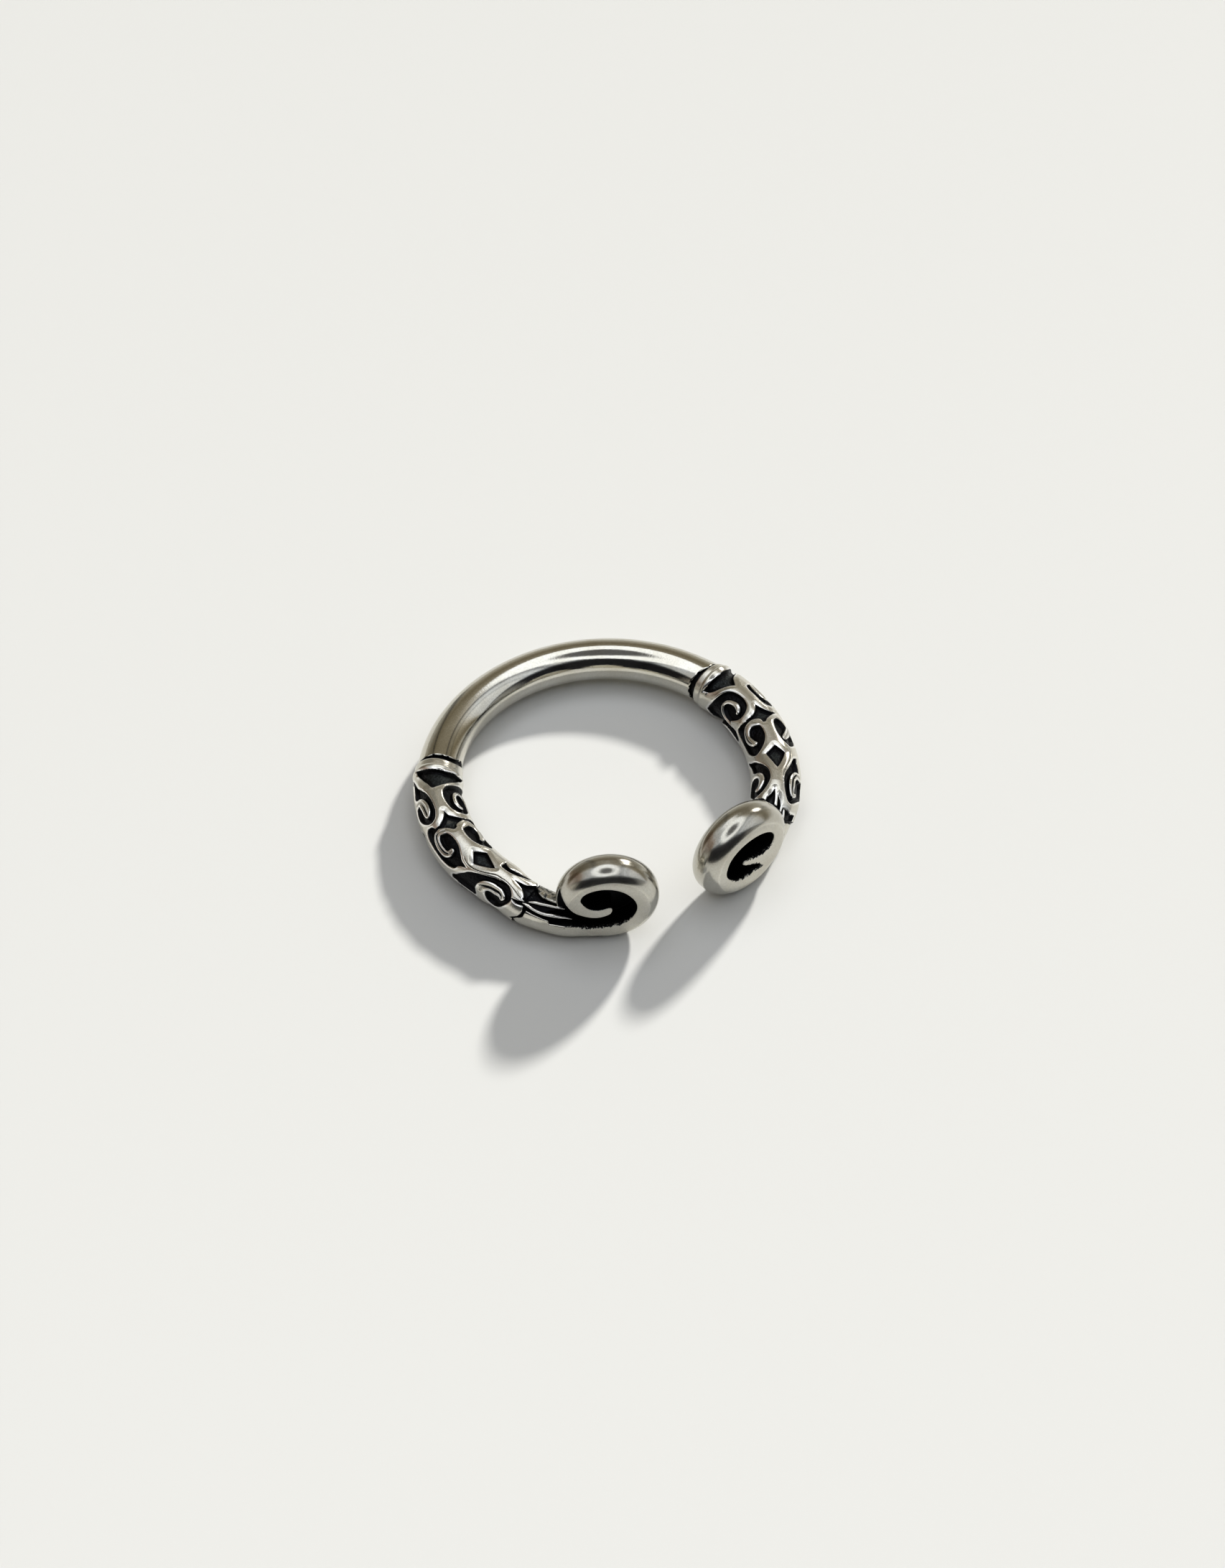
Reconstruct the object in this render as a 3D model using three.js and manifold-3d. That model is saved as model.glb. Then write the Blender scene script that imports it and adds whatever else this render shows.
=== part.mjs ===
// Open finger ring of solid silver, lying on its side: a plain round shank at the back, a thicker
// sleeve on each side behind a turned collar, and two ends that curl up into upright scrolls.
// Millimetres, +Z up. The finger hole's axis is Z, the gap between the scrolls faces -Y, and the
// ring lies on the plane z = 0. Angles along the ring are in degrees from the middle of the gap.
import * as THREE from "three";
import { mergeVertices } from "three/addons/utils/BufferGeometryUtils.js";
import Module from "manifold-3d";

// Bar, bent to a circle round the finger.
const ringRadius = 10; // centreline of the bar
const shankRadius = 1.27; // thinnest, at the very back
const shankEndRadius = 1.3; // where the shank meets the collars
const seamDepth = 0.14; // dark groove between shank and collar
const collarRadius = 1.43;
const collarLipRadius = 1.5; // raised edge of the collar, towards the ornament
const sleeveRootRadius = 1.46; // just past the lip
const sleeveRadius = 1.5; // thickest stretch, on which the ring lies
const sleeveTipRadius = 1.3; // where the sleeve meets the scroll end

// Places along the bar.
const seamAngle = 119;
const seamWidth = 1.6;
const lipAngle = 114.2;
const lipWidth = 1.4;
const thickFrom = 96;
const thickTo = 82;
const terminalAngle = 52; // the sleeve ends and the scroll end begins
const barEndAngle = 24; // the bar's own end, hidden inside the scroll

// The scroll end's own bar: slimmer than the sleeve, it sinks towards the scroll.
const endStep = 0.05; // its step down from the sleeve at their joint
const endRadius = 1.18; // where it runs under the scroll
const endLeaves = 58; // it starts to sink here
const endArrives = 38; // and is this far down here
const endDrop = 0.3;

// How far outside the circle the centreline swings near each scroll, at angles from the gap.
const swing = {
  left: [
    { angle: 62, out: 0 },
    { angle: 57.5, out: 0.2 },
    { angle: 54, out: 0.34 },
    { angle: 50, out: 0.4 },
    { angle: 45, out: 0.34 },
    { angle: 38, out: 0.33 },
  ],
  right: [
    { angle: 67, out: 0 },
    { angle: 60, out: 0.15 },
    { angle: 56, out: 0.19 },
    { angle: 50, out: 0.12 },
    { angle: 44, out: 0.05 },
    { angle: 38, out: 0 },
  ],
};

// Scroll: an upright round coil whose flat face looks outwards.
const scrollRadius = 2.9;
const scrollThickness = 2.4;
const scrollEdgeRound = 1.1;
const scrollCentreRadius = 9.95;
const pocketDepth = 1.2; // from the face down to the dark floor between the turns

// The two scrolls are finished by hand and differ a little. Side is -1 on the -X side of the gap.
// Angle is the place of the scroll's centre along the ring, facing is the direction its face looks
// in, which is turned a little towards the gap, and stretch widens it along the ring.
const scrollEnds = [
  { side: -1, angle: 24.5, facing: 20, stretch: 1.015 },
  { side: 1, angle: 25.2, facing: 17, stretch: 1.1 },
];

// Facets.
const barSides = 24;
const stationStep = 3.5; // degrees between sections of the bar
const scrollSides = 48;
const edgeSteps = 6;
const coilSteps = 48;

// The coil's centreline on the scroll's face and half its width there. Across is towards the gap
// and up is +Z, both from the scroll's centre. It starts as the rim under the bar's channel, runs
// under the scroll, up on the gap side, over the top, down again, and ends in a round tip.
const coil = [
  { across: -5.4, up: -1.9, half: 1.0 },
  { across: -4.2, up: -2.0, half: 0.92 },
  { across: -3.0, up: -2.1, half: 0.86 },
  { across: -1.8, up: -2.15, half: 0.82 },
  { across: -0.5, up: -2.2, half: 0.8 },
  { across: 0.85, up: -2.0, half: 0.74 },
  { across: 1.95, up: -1.1, half: 0.72 },
  { across: 2.24, up: 0.1, half: 0.68 },
  { across: 1.75, up: 1.45, half: 0.66 },
  { across: 0.5, up: 2.3, half: 0.58 },
  { across: -0.95, up: 2.25, half: 0.5 },
  { across: -2.0, up: 1.4, half: 0.5 },
  { across: -1.85, up: 0.35, half: 0.44 },
  { across: -1.4, up: -0.05, half: 0.36 },
  { across: -0.75, up: -0.24, half: 0.32 },
  { across: -0.1, up: -0.1, half: 0.24 },
];

const wasm = await Module();
wasm.setup();
const radians = THREE.MathUtils.degToRad;

function solidOf(geometry) {
  const plain = new THREE.BufferGeometry().setAttribute("position", geometry.getAttribute("position"));
  if (geometry.index) plain.setIndex(geometry.index);
  const merged = mergeVertices(plain, 1e-4);
  return new wasm.Manifold(
    new wasm.Mesh({
      numProp: 3,
      vertProperties: merged.attributes.position.array,
      triVerts: new Uint32Array(merged.index.array),
    }),
  );
}

function geometryOf(solid) {
  const mesh = solid.getMesh();
  const geometry = new THREE.BufferGeometry();
  geometry.setAttribute("position", new THREE.BufferAttribute(mesh.vertProperties, 3));
  geometry.setIndex(new THREE.BufferAttribute(mesh.triVerts, 1));
  geometry.computeVertexNormals();
  return geometry;
}

// Sections of half the bar, from the middle of the back to the hidden end.
function barSections() {
  const seamHalf = seamWidth / 2;
  const lipHalf = lipWidth / 2;
  const sections = [
    { angle: 180, radius: shankRadius },
    { angle: seamAngle + seamHalf, radius: shankEndRadius },
    { angle: seamAngle + seamHalf / 2, radius: shankEndRadius - seamDepth },
    { angle: seamAngle - seamHalf / 2, radius: shankEndRadius - seamDepth },
    { angle: seamAngle - seamHalf, radius: collarRadius },
    { angle: lipAngle + lipHalf, radius: collarRadius },
    { angle: lipAngle + lipHalf / 2, radius: collarLipRadius },
    { angle: lipAngle - lipHalf / 2, radius: collarLipRadius },
    { angle: lipAngle - lipHalf, radius: sleeveRootRadius },
    { angle: thickFrom, radius: sleeveRadius },
    { angle: thickTo, radius: sleeveRadius },
    { angle: terminalAngle, radius: sleeveTipRadius },
    { angle: terminalAngle - 0.4, radius: sleeveTipRadius - endStep },
    { angle: endArrives, radius: endRadius },
    { angle: barEndAngle + 2, radius: endRadius },
    { angle: barEndAngle, radius: endRadius / 2 },
  ];
  const filled = [sections[0]];
  for (let i = 1; i < sections.length; i++) {
    const a = sections[i - 1];
    const b = sections[i];
    const steps = Math.max(1, Math.round((a.angle - b.angle) / stationStep));
    for (let k = 1; k <= steps; k++) {
      filled.push({
        angle: THREE.MathUtils.lerp(a.angle, b.angle, k / steps),
        radius: THREE.MathUtils.lerp(a.radius, b.radius, k / steps),
      });
    }
  }
  return filled;
}

function swungOut(rows, angle) {
  if (angle >= rows[0].angle) return 0;
  const next = rows.findIndex((row) => row.angle <= angle);
  if (next < 0) return rows[rows.length - 1].out;
  return THREE.MathUtils.mapLinear(
    angle,
    rows[next - 1].angle,
    rows[next].angle,
    rows[next - 1].out,
    rows[next].out,
  );
}

// Where the bar's centreline runs at an angle from the gap: on the circle, except near its ends.
function barCentre(angle, rows) {
  const sunk = THREE.MathUtils.smoothstep(endLeaves - angle, 0, endLeaves - endArrives);
  const back = THREE.MathUtils.smoothstep(endArrives - angle, 0, endArrives - barEndAngle);
  const swung = ringRadius + swungOut(rows, angle);
  return {
    out: THREE.MathUtils.lerp(swung, scrollCentreRadius, back),
    up: sleeveRadius - endDrop * sunk,
  };
}

// The whole bar is turned straight along Y, then bent so that Y becomes the way round the ring.
function bentBar() {
  const alongBar = ({ angle, radius }) => {
    const facetRadius = radius / Math.cos(Math.PI / barSides);
    return new THREE.Vector2(facetRadius, ringRadius * radians(180 - angle));
  };
  const half = barSections().map(alongBar);
  const other = half.slice(1).reverse().map((p) => new THREE.Vector2(p.x, -p.y));
  const end = half[half.length - 1].y;
  const profile = [new THREE.Vector2(0, -end), ...other, ...half, new THREE.Vector2(0, end)];
  profile.reverse(); // the bend below turns the faces round, so they start out reversed
  // Half a facet's turn puts a flat facet, not an edge, on the underside.
  const turned = new THREE.LatheGeometry(profile, barSides, Math.PI / barSides, 2 * Math.PI);
  const position = turned.getAttribute("position");
  for (let i = 0; i < position.count; i++) {
    const around = position.getY(i) / ringRadius;
    const rows = around < 0 ? swing.left : swing.right;
    const centre = barCentre(180 - THREE.MathUtils.radToDeg(Math.abs(around)), rows);
    const out = centre.out + position.getX(i);
    const up = centre.up + position.getZ(i);
    position.setXYZ(i, out * Math.sin(around), out * Math.cos(around), up);
  }
  return solidOf(turned);
}

// Puck with a rounded edge, turned about Z, which is the direction that its face looks in.
function scrollPuck() {
  const facet = 1 / Math.cos(Math.PI / scrollSides);
  const flat = scrollThickness / 2 - scrollEdgeRound;
  const profile = [new THREE.Vector2(0, -scrollThickness / 2)];
  for (let k = 0; k <= 2 * edgeSteps; k++) {
    const turn = -Math.PI / 2 + (Math.PI * k) / (2 * edgeSteps);
    const side = k < edgeSteps ? -flat : flat;
    const reach = scrollRadius - scrollEdgeRound + scrollEdgeRound * Math.cos(turn);
    profile.push(new THREE.Vector2(facet * reach, side + scrollEdgeRound * Math.sin(turn)));
  }
  profile.push(new THREE.Vector2(0, scrollThickness / 2));
  const puck = new THREE.LatheGeometry(profile, scrollSides, Math.PI / scrollSides, 2 * Math.PI);
  puck.rotateX(Math.PI / 2);
  return solidOf(puck);
}

// Prism that stands on the pocket's floor and covers the coil as drawn above.
function coilPrism() {
  const line = new THREE.SplineCurve(coil.map((c) => new THREE.Vector2(c.across, c.up)));
  const left = [];
  const right = [];
  for (let k = 0; k <= coilSteps; k++) {
    const at = k / coilSteps;
    const place = (coil.length - 1) * at;
    const i = Math.min(Math.floor(place), coil.length - 2);
    const half = THREE.MathUtils.lerp(coil[i].half, coil[i + 1].half, place - i);
    const centre = line.getPoint(at);
    const along = line.getTangent(at);
    const side = new THREE.Vector2(-along.y, along.x).multiplyScalar(half);
    left.push(centre.clone().add(side));
    right.push(centre.clone().sub(side));
  }
  const tip = coil[coil.length - 1];
  const ahead = line.getTangent(1).multiplyScalar(tip.half * 0.8);
  const tipPoint = line.getPoint(1).add(ahead);
  const outline = new THREE.Shape([...right, tipPoint, ...left.reverse()]);
  const prism = new THREE.ExtrudeGeometry(outline, { depth: scrollThickness, bevelEnabled: false });
  prism.translate(0, 0, scrollThickness / 2 - pocketDepth);
  return solidOf(prism);
}

// Everything in front of the pocket's floor, over the scroll and the bar's channel.
function pocketBlock() {
  const low = -scrollRadius - 1;
  const block = new THREE.Shape([
    new THREE.Vector2(-4.9, low),
    new THREE.Vector2(scrollRadius + 1, low),
    new THREE.Vector2(scrollRadius + 1, scrollRadius + 1),
    new THREE.Vector2(-4.9, scrollRadius + 1),
  ]);
  const solid = new THREE.ExtrudeGeometry(block, { depth: scrollThickness, bevelEnabled: false });
  solid.translate(0, 0, scrollThickness / 2 - pocketDepth);
  return solidOf(solid);
}

// Places a solid drawn on the scroll's face (X across, Y up, Z outwards) on its side of the gap.
function atScroll(solid, end) {
  const place = radians(end.angle);
  const facing = radians(end.facing);
  const across = new THREE.Vector3(-end.side * Math.cos(facing), -Math.sin(facing), 0);
  const outwards = new THREE.Vector3(end.side * Math.sin(facing), -Math.cos(facing), 0);
  const centre = new THREE.Vector3(
    end.side * scrollCentreRadius * Math.sin(place),
    -scrollCentreRadius * Math.cos(place),
    scrollRadius,
  );
  const turn = new THREE.Matrix4().makeBasis(across, new THREE.Vector3(0, 0, 1), outwards);
  turn.scale(new THREE.Vector3(end.stretch, 1, 1)).setPosition(centre);
  return solid.transform(turn.elements);
}

function ringSolid() {
  const puck = scrollPuck();
  const pocket = pocketBlock().subtract(coilPrism());
  const withScrolls = scrollEnds.reduce((whole, end) => whole.add(atScroll(puck, end)), bentBar());
  return scrollEnds.reduce((whole, end) => whole.subtract(atScroll(pocket, end)), withScrolls);
}

const silver = new THREE.MeshStandardMaterial({
  color: new THREE.Color(0.78, 0.76, 0.72),
  roughness: 0.3,
  metalness: 1,
});

const ring = new THREE.Mesh(geometryOf(ringSolid()), silver);
ring.name = "ring";

const part = new THREE.Group();
part.add(ring);

export default part;
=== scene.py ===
"""Looks of the open finger ring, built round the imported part.

The ring lies on its side on the plane z = 0. Angles along the ring are in degrees from the middle
of the gap, which faces -Y. Angles round the bar are 0 outwards, 90 up and 180 towards the finger.
Lengths in the functions below are millimetres; meshes are written in metres.
"""

import math

import bpy
import numpy as np
from mathutils import Matrix, Vector


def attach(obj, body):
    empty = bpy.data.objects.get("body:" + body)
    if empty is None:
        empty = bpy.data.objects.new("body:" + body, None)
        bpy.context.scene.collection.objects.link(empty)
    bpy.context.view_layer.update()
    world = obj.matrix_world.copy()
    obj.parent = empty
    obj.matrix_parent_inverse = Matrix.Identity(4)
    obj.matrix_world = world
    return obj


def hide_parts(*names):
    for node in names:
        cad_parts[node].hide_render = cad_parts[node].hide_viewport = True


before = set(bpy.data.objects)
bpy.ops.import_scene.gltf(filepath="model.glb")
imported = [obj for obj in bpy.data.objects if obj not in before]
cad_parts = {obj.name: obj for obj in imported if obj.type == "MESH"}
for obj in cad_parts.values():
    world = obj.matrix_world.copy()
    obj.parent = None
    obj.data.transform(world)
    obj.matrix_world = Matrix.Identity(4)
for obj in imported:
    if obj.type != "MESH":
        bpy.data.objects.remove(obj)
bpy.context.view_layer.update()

MM = 0.001

# The bar, bent to a circle.
RING_RADIUS = 10.0
BAR_HEIGHT = 1.5  # of its centreline above the floor
SHANK_RADIUS = 1.25
SHANK_END_RADIUS = 1.3

# Places along the bar.
SEAM_ANGLE = 119.0
SLEEVE_MIDDLE = 60.0  # from here on the rows lean to meet the slanting terminal seam

# The centreline swings out and sinks towards each scroll.
SWING_LEAVES = 62.0
SWING_ARRIVES = 51.0
SWING_OUTWARDS = {-1: 0.35, 1: 0.0}
SINK_LEAVES = 58.0
SINK_ARRIVES = 38.0
SINK_DEPTH = 0.3
BAR_END = 24.0  # hidden inside the scroll

# Scroll ends: upright discs. Side is -1 on the -X side of the gap.
SCROLL_RADIUS = 2.9
SCROLL_HALF = 1.2  # of its thickness
SCROLL_EDGE = 1.1  # radius of its rounded edge
SCROLL_CENTRE_RADIUS = 9.95  # from the ring's middle
# Where along the ring each is, how far its face turns from -Y away from the gap, and its width
# as a share of its height.
SCROLLS = {
    -1: {"angle": 24.5, "facing": 20.0, "stretch": 1.015},
    1: {"angle": 25.2, "facing": 17.0, "stretch": 1.1},
}


# ---------- small maths


FAR = 9.0  # millimetres, farther than any distance that matters


def smoothstep(low, high, value):
    share = np.clip((value - low) / (high - low), 0.0, 1.0)
    return share * share * (3.0 - 2.0 * share)


def lerp(a, b, share):
    return a + (b - a) * share


def smooth_max(a, b, width):
    blend = np.clip(0.5 + 0.5 * (a - b) / width, 0.0, 1.0)
    return b + (a - b) * blend + width * blend * (1.0 - blend)


def smooth_min(a, b, width):
    return -smooth_max(-a, -b, width)


def charted(rows, place, **options):
    """The value at a place, or at many, between those that the rows give."""
    table = np.array(rows, float)
    return np.interp(place, table[:, 0], table[:, 1], **options)


def curve_through(points, steps=6):
    """A Catmull-Rom curve through the points, from the first to the last."""
    p = np.asarray(points, float)
    if len(p) == 2:
        return p
    ends = np.vstack([2 * p[0] - p[1], p, 2 * p[-1] - p[-2]])
    share = np.linspace(0, 1, steps, endpoint=False)[:, None]
    parts = []
    for i in range(len(p) - 1):
        a, b, c, d = ends[i : i + 4]
        rise = (c - a) * share
        bend = (2 * a - 5 * b + 4 * c - d) * share**2
        twist = (3 * b - a - 3 * c + d) * share**3
        parts.append(0.5 * (2 * b + rise + bend + twist))
    parts.append(p[-1:])
    return np.vstack(parts)


def outline(*stretches):
    """An outline from smooth stretches that meet at corners, closed by a straight line."""
    parts = [curve_through(s)[:-1] for s in stretches]
    return np.vstack([*parts, stretches[-1][-1:]])


def cornered(first, *rest):
    """Stretches that each go on from the end of the one before."""
    stretches = [first]
    for stretch in rest:
        stretches.append([stretches[-1][-1], *stretch])
    return stretches


def inside_distance(polygon, query):
    """Distance from each query point to the outline, positive inside it."""
    a = polygon
    b = np.roll(polygon, -1, axis=0)
    best = np.full(len(query), FAR**2)
    inside = np.zeros(len(query), bool)
    for (ax, ay), (bx, by) in zip(a, b):
        dx, dy = bx - ax, by - ay
        length2 = dx * dx + dy * dy
        if length2 == 0:
            continue
        qx, qy = query[:, 0] - ax, query[:, 1] - ay
        share = np.clip((qx * dx + qy * dy) / length2, 0, 1)
        best = np.minimum(best, (qx - share * dx) ** 2 + (qy - share * dy) ** 2)
        if ay != by:
            crosses = (ay > query[:, 1]) != (by > query[:, 1])
            inside ^= crosses & (qx < dx * (query[:, 1] - ay) / dy)
    return np.where(inside, 1, -1) * np.sqrt(best)


def stroke_distance(path, half, query):
    """Distance into a stroke of changing half width, positive inside, and the distance off its
    centreline as a share of the half width."""
    best = np.full(len(query), -FAR)
    off = np.full(len(query), FAR)
    for (x, y), h in zip(path, half):
        away = np.hypot(query[:, 0] - x, query[:, 1] - y)
        best = np.maximum(best, h - away)
        off = np.minimum(off, away / h)
    return best, off


def grid_points(low, high, step):
    """The points of a grid, in rows and columns."""
    axes = (np.arange(a, b, s) for a, b, s in zip(low, high, step))
    return np.stack(np.meshgrid(*axes, indexing="ij"), -1)


class Raster:
    """A grid of values that is read between its points."""

    def __init__(self, low, step, values):
        self.low, self.step, self.values = np.asarray(low), np.asarray(step), values

    def __call__(self, x, y):
        g = self.values
        # Just short of the last point, so that there is always a next one.
        u = np.clip((x - self.low[0]) / self.step[0], 0, g.shape[0] - 1.001)
        v = np.clip((y - self.low[1]) / self.step[1], 0, g.shape[1] - 1.001)
        i, j = u.astype(int), v.astype(int)
        u, v = u - i, v - j
        below = g[i, j] * (1 - u) + g[i + 1, j] * u
        above = g[i, j + 1] * (1 - u) + g[i + 1, j + 1] * u
        return below * (1 - v) + above * v


# Large numbers that scramble the number of a cell of space.
SCRAMBLE_AXES = (73856093, 19349663, 83492791)
SCRAMBLE_SEED = 2654435
SCRAMBLE_FIRST = 1103515245
SCRAMBLE_ADDED = 12345
SCRAMBLE_SECOND = 1274126177
SCRAMBLE_LIMIT = 0x7FFFFFFF
SCRAMBLE_KEPT = 0xFFFF


def lattice_noise(points, size, seed):
    """Smooth noise from -1 to 1 whose grains are about `size` across."""
    q = points / size
    cell = np.floor(q).astype(np.int64)
    part = q - cell
    part = part * part * (3 - 2 * part)
    total = np.zeros(len(points))
    for corner in np.ndindex(2, 2, 2):
        h = np.full(len(points), seed * SCRAMBLE_SEED)
        weight = np.ones(len(points))
        for axis, far in enumerate(corner):
            h = h ^ (cell[:, axis] + far) * SCRAMBLE_AXES[axis]
            weight = weight * (part[:, axis] if far else 1 - part[:, axis])
        h = ((h & SCRAMBLE_LIMIT) * SCRAMBLE_FIRST + SCRAMBLE_ADDED) & SCRAMBLE_LIMIT
        h = (h ^ (h >> 13)) * SCRAMBLE_SECOND & SCRAMBLE_LIMIT
        total += weight * ((h & SCRAMBLE_KEPT) / (SCRAMBLE_KEPT / 2) - 1)
    return total


# ---------- meshes


def on_ring(angle, radius, height, side):
    """Points at an angle along the ring."""
    a = np.radians(angle)
    return np.stack([side * radius * np.sin(a), -radius * np.cos(a), height + 0 * a], -1)


def bar_centre(angle, side):
    """How far out and up the bar's centreline is."""
    swing = smoothstep(0, SWING_LEAVES - SWING_ARRIVES, SWING_LEAVES - angle)
    sink = smoothstep(0, SINK_LEAVES - SINK_ARRIVES, SINK_LEAVES - angle)
    back = smoothstep(0, SINK_ARRIVES - BAR_END, SINK_ARRIVES - angle)
    swung = RING_RADIUS + SWING_OUTWARDS[side] * swing
    return lerp(swung, SCROLL_CENTRE_RADIUS, back), BAR_HEIGHT - SINK_DEPTH * sink


def bar_surface(angle, round_angle, radius, side):
    """Points round the bar's centreline."""
    p = np.radians(round_angle)
    out, up = bar_centre(angle, side)
    return on_ring(angle, out + radius * np.cos(p), up + radius * np.sin(p), side)


def link(name, data):
    """A new object in the scene."""
    made = bpy.data.objects.new(name, data)
    bpy.context.scene.collection.objects.link(made)
    return made


def add_piece(name, points, faces, values, material):
    """A piece of the ring that stands for its CAD solid; values are named and given by point."""
    mesh = bpy.data.meshes.new(name)
    mesh.from_pydata(points * MM, [], faces)
    mesh.polygons.foreach_set("use_smooth", np.ones(len(mesh.polygons), bool))
    for key, value in values.items():
        data = mesh.attributes.new(key, "FLOAT", "POINT").data
        data.foreach_set("value", value.astype(np.float32))
    mesh.materials.append(material)
    mesh.update()
    piece = link(name, mesh)
    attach(piece, "root")
    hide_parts("ring")


def faces_outwards(points, quads):
    """Whether the quads of a mesh face outwards."""
    triangles = np.vstack([quads[:, [0, 1, 2]], quads[:, [0, 2, 3]]])
    a, b, c = (points[triangles[:, k]] for k in range(3))
    return np.einsum("ij,ij->i", a, np.cross(b, c)).sum() > 0


def tube_quads(rows, cols):
    """Quads between rows of points that each run round and close."""
    i, j = np.meshgrid(np.arange(rows - 1), np.arange(cols), indexing="ij")
    k = (j + 1) % cols
    corners = [i * cols + j, (i + 1) * cols + j, (i + 1) * cols + k, i * cols + k]
    return np.stack(corners, -1).reshape(-1, 4)


def closed_tube(grid):
    """Points and faces of a tube from rows of points, closed at both ends by a fan."""
    rows, cols, _ = grid.shape
    points = grid.reshape(-1, 3)
    quads = tube_quads(rows, cols)
    count = len(points)
    ring = np.arange(cols)
    after = (ring + 1) % cols
    last = (rows - 1) * cols
    start = np.stack([ring, after, np.full(cols, count)], -1)
    finish = np.stack([last + after, last + ring, np.full(cols, count + 1)], -1)
    faces = quads.tolist() + start.tolist() + finish.tolist()
    if not faces_outwards(points, quads):
        faces = [f[::-1] for f in faces]
    return np.vstack([points, points[:cols].mean(0), points[-cols:].mean(0)]), faces


# ---------- carved ornament

# Half of a sleeve's ornament is a chart: degrees from the crown round the bar, and degrees from
# the gap along it. The finger half and the outer half meet at the crown, and past CHART_SIDE each
# is mirrored down to the belly. An outline's stretches are smooth and meet at corners.
CHART_SIDE = 100.0
CHART_LOW, CHART_HIGH = 43.0, 116.0  # along the ring
ROUND_MM = math.radians(1) * 1.5  # millimetres for a degree round the bar
ALONG_MM = math.radians(1) * RING_RADIUS  # and for a degree along it

CROWN_REACH = 30  # how far the lens runs on past the crown
CROWN_STRIP = 20  # and the other shapes that cross it


def lens(upper, lower):
    """A lens whose upper edge runs smoothly over the crown."""
    start, end = (-CROWN_REACH, upper[0][1]), (-CROWN_REACH, lower[-1][1])
    return [start, *upper], lower, [lower[-1], end]


def pointed(upper, lower):
    """A pointed shape that runs straight over the crown."""
    start, end = (-CROWN_STRIP, upper[0][1]), (-CROWN_STRIP, lower[-1][1])
    return [start, upper[0]], upper, lower, [lower[-1], end]


# The lens below the collar.
LENS = {
    ("finger", -1): lens(
        [(0, 112.4), (13, 112.1), (23, 112.3), (33, 112.7), (52, 113.1), (62, 113.5), (73, 114)],
        [(73, 114), (65, 112.1), (56, 110.7), (48, 109.3), (40, 108.2), (32, 107.5), (24, 106.8),
         (17, 106.2), (9, 105.7), (0, 105.4)],
    ),
    ("outer", -1): lens(
        [(0, 112.4), (30, 112.8), (50, 113.2), (67, 113.9)],
        [(67, 113.9), (61, 112), (54, 110.9), (46, 109.9), (40, 109.2), (33, 108.5), (25, 107.8),
         (18, 106.9), (7, 105.8), (0, 105.3)],
    ),
    ("finger", 1): lens(
        [(0, 112.2), (13.6, 112.3), (34.6, 112.8), (50, 113.1), (65, 113.7)],
        [(65, 113.7), (58, 111.5), (50, 110.2), (38, 108.9), (26, 107.9), (17, 106.9), (8.3, 105.9),
         (0, 104.8)],
    ),
    ("outer", 1): lens(
        [(0, 112.3), (30, 112.4), (45, 112.9), (57, 113.4), (80, 114)],
        [(80, 111.4), (57, 110.7), (47, 110.2), (37, 109.4), (27, 108.6), (17, 107.5), (7, 105.9),
         (0, 104.8)],
    ),
}
# The star in the middle of the sleeve, and the diamond past it.
STAR = {
    ("finger", -1): pointed(
        [(0, 94.4), (3, 92.6), (7, 91.7), (12, 91.1), (19, 90.5), (26, 90.0), (33, 89.7), (43, 89.5)],
        [(43, 89.1), (36, 88.8), (29, 88.4), (22, 87.9), (17, 87.3), (12, 86.6), (7, 86), (2, 85.6),
         (0, 85.5)],
    ),
    ("outer", -1): pointed(
        [(0, 94.4), (4, 92.9), (8, 91.9), (13, 91.1), (18, 90.5), (24, 90), (30, 89.8), (40, 89.9)],
        [(40, 89.2), (30, 88.8), (24, 88.2), (18, 87.7), (12, 87.1), (7, 86.3), (3, 85.7), (0, 85.5)],
    ),
    ("finger", 1): pointed(
        [(0, 93.7), (4, 92.6), (8.5, 91.5), (14, 90.6), (22, 89.9), (32, 89.6), (44, 89.6)],
        [(44, 88.4), (33, 88.1), (23, 87.2), (13, 86.3), (8, 85.5), (5, 85.2), (0, 85.2)],
    ),
    ("outer", 1): pointed(
        [(0, 93.7), (4, 92.6), (8.5, 91.5), (14, 90.6), (22, 89.8), (32, 89.4), (42, 89.2)],
        [(42, 89), (35, 88.7), (27, 88.1), (17, 87.3), (7, 86.4), (0, 85.3)],
    ),
}
DIAMOND = pointed(
    [(0, 74.1), (8, 72.9), (16, 71.8), (23.5, 70.9)],
    [(23.5, 70.9), (21, 69.9), (17, 68.5), (12, 67), (6, 65.3), (0, 64)],
)
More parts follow.
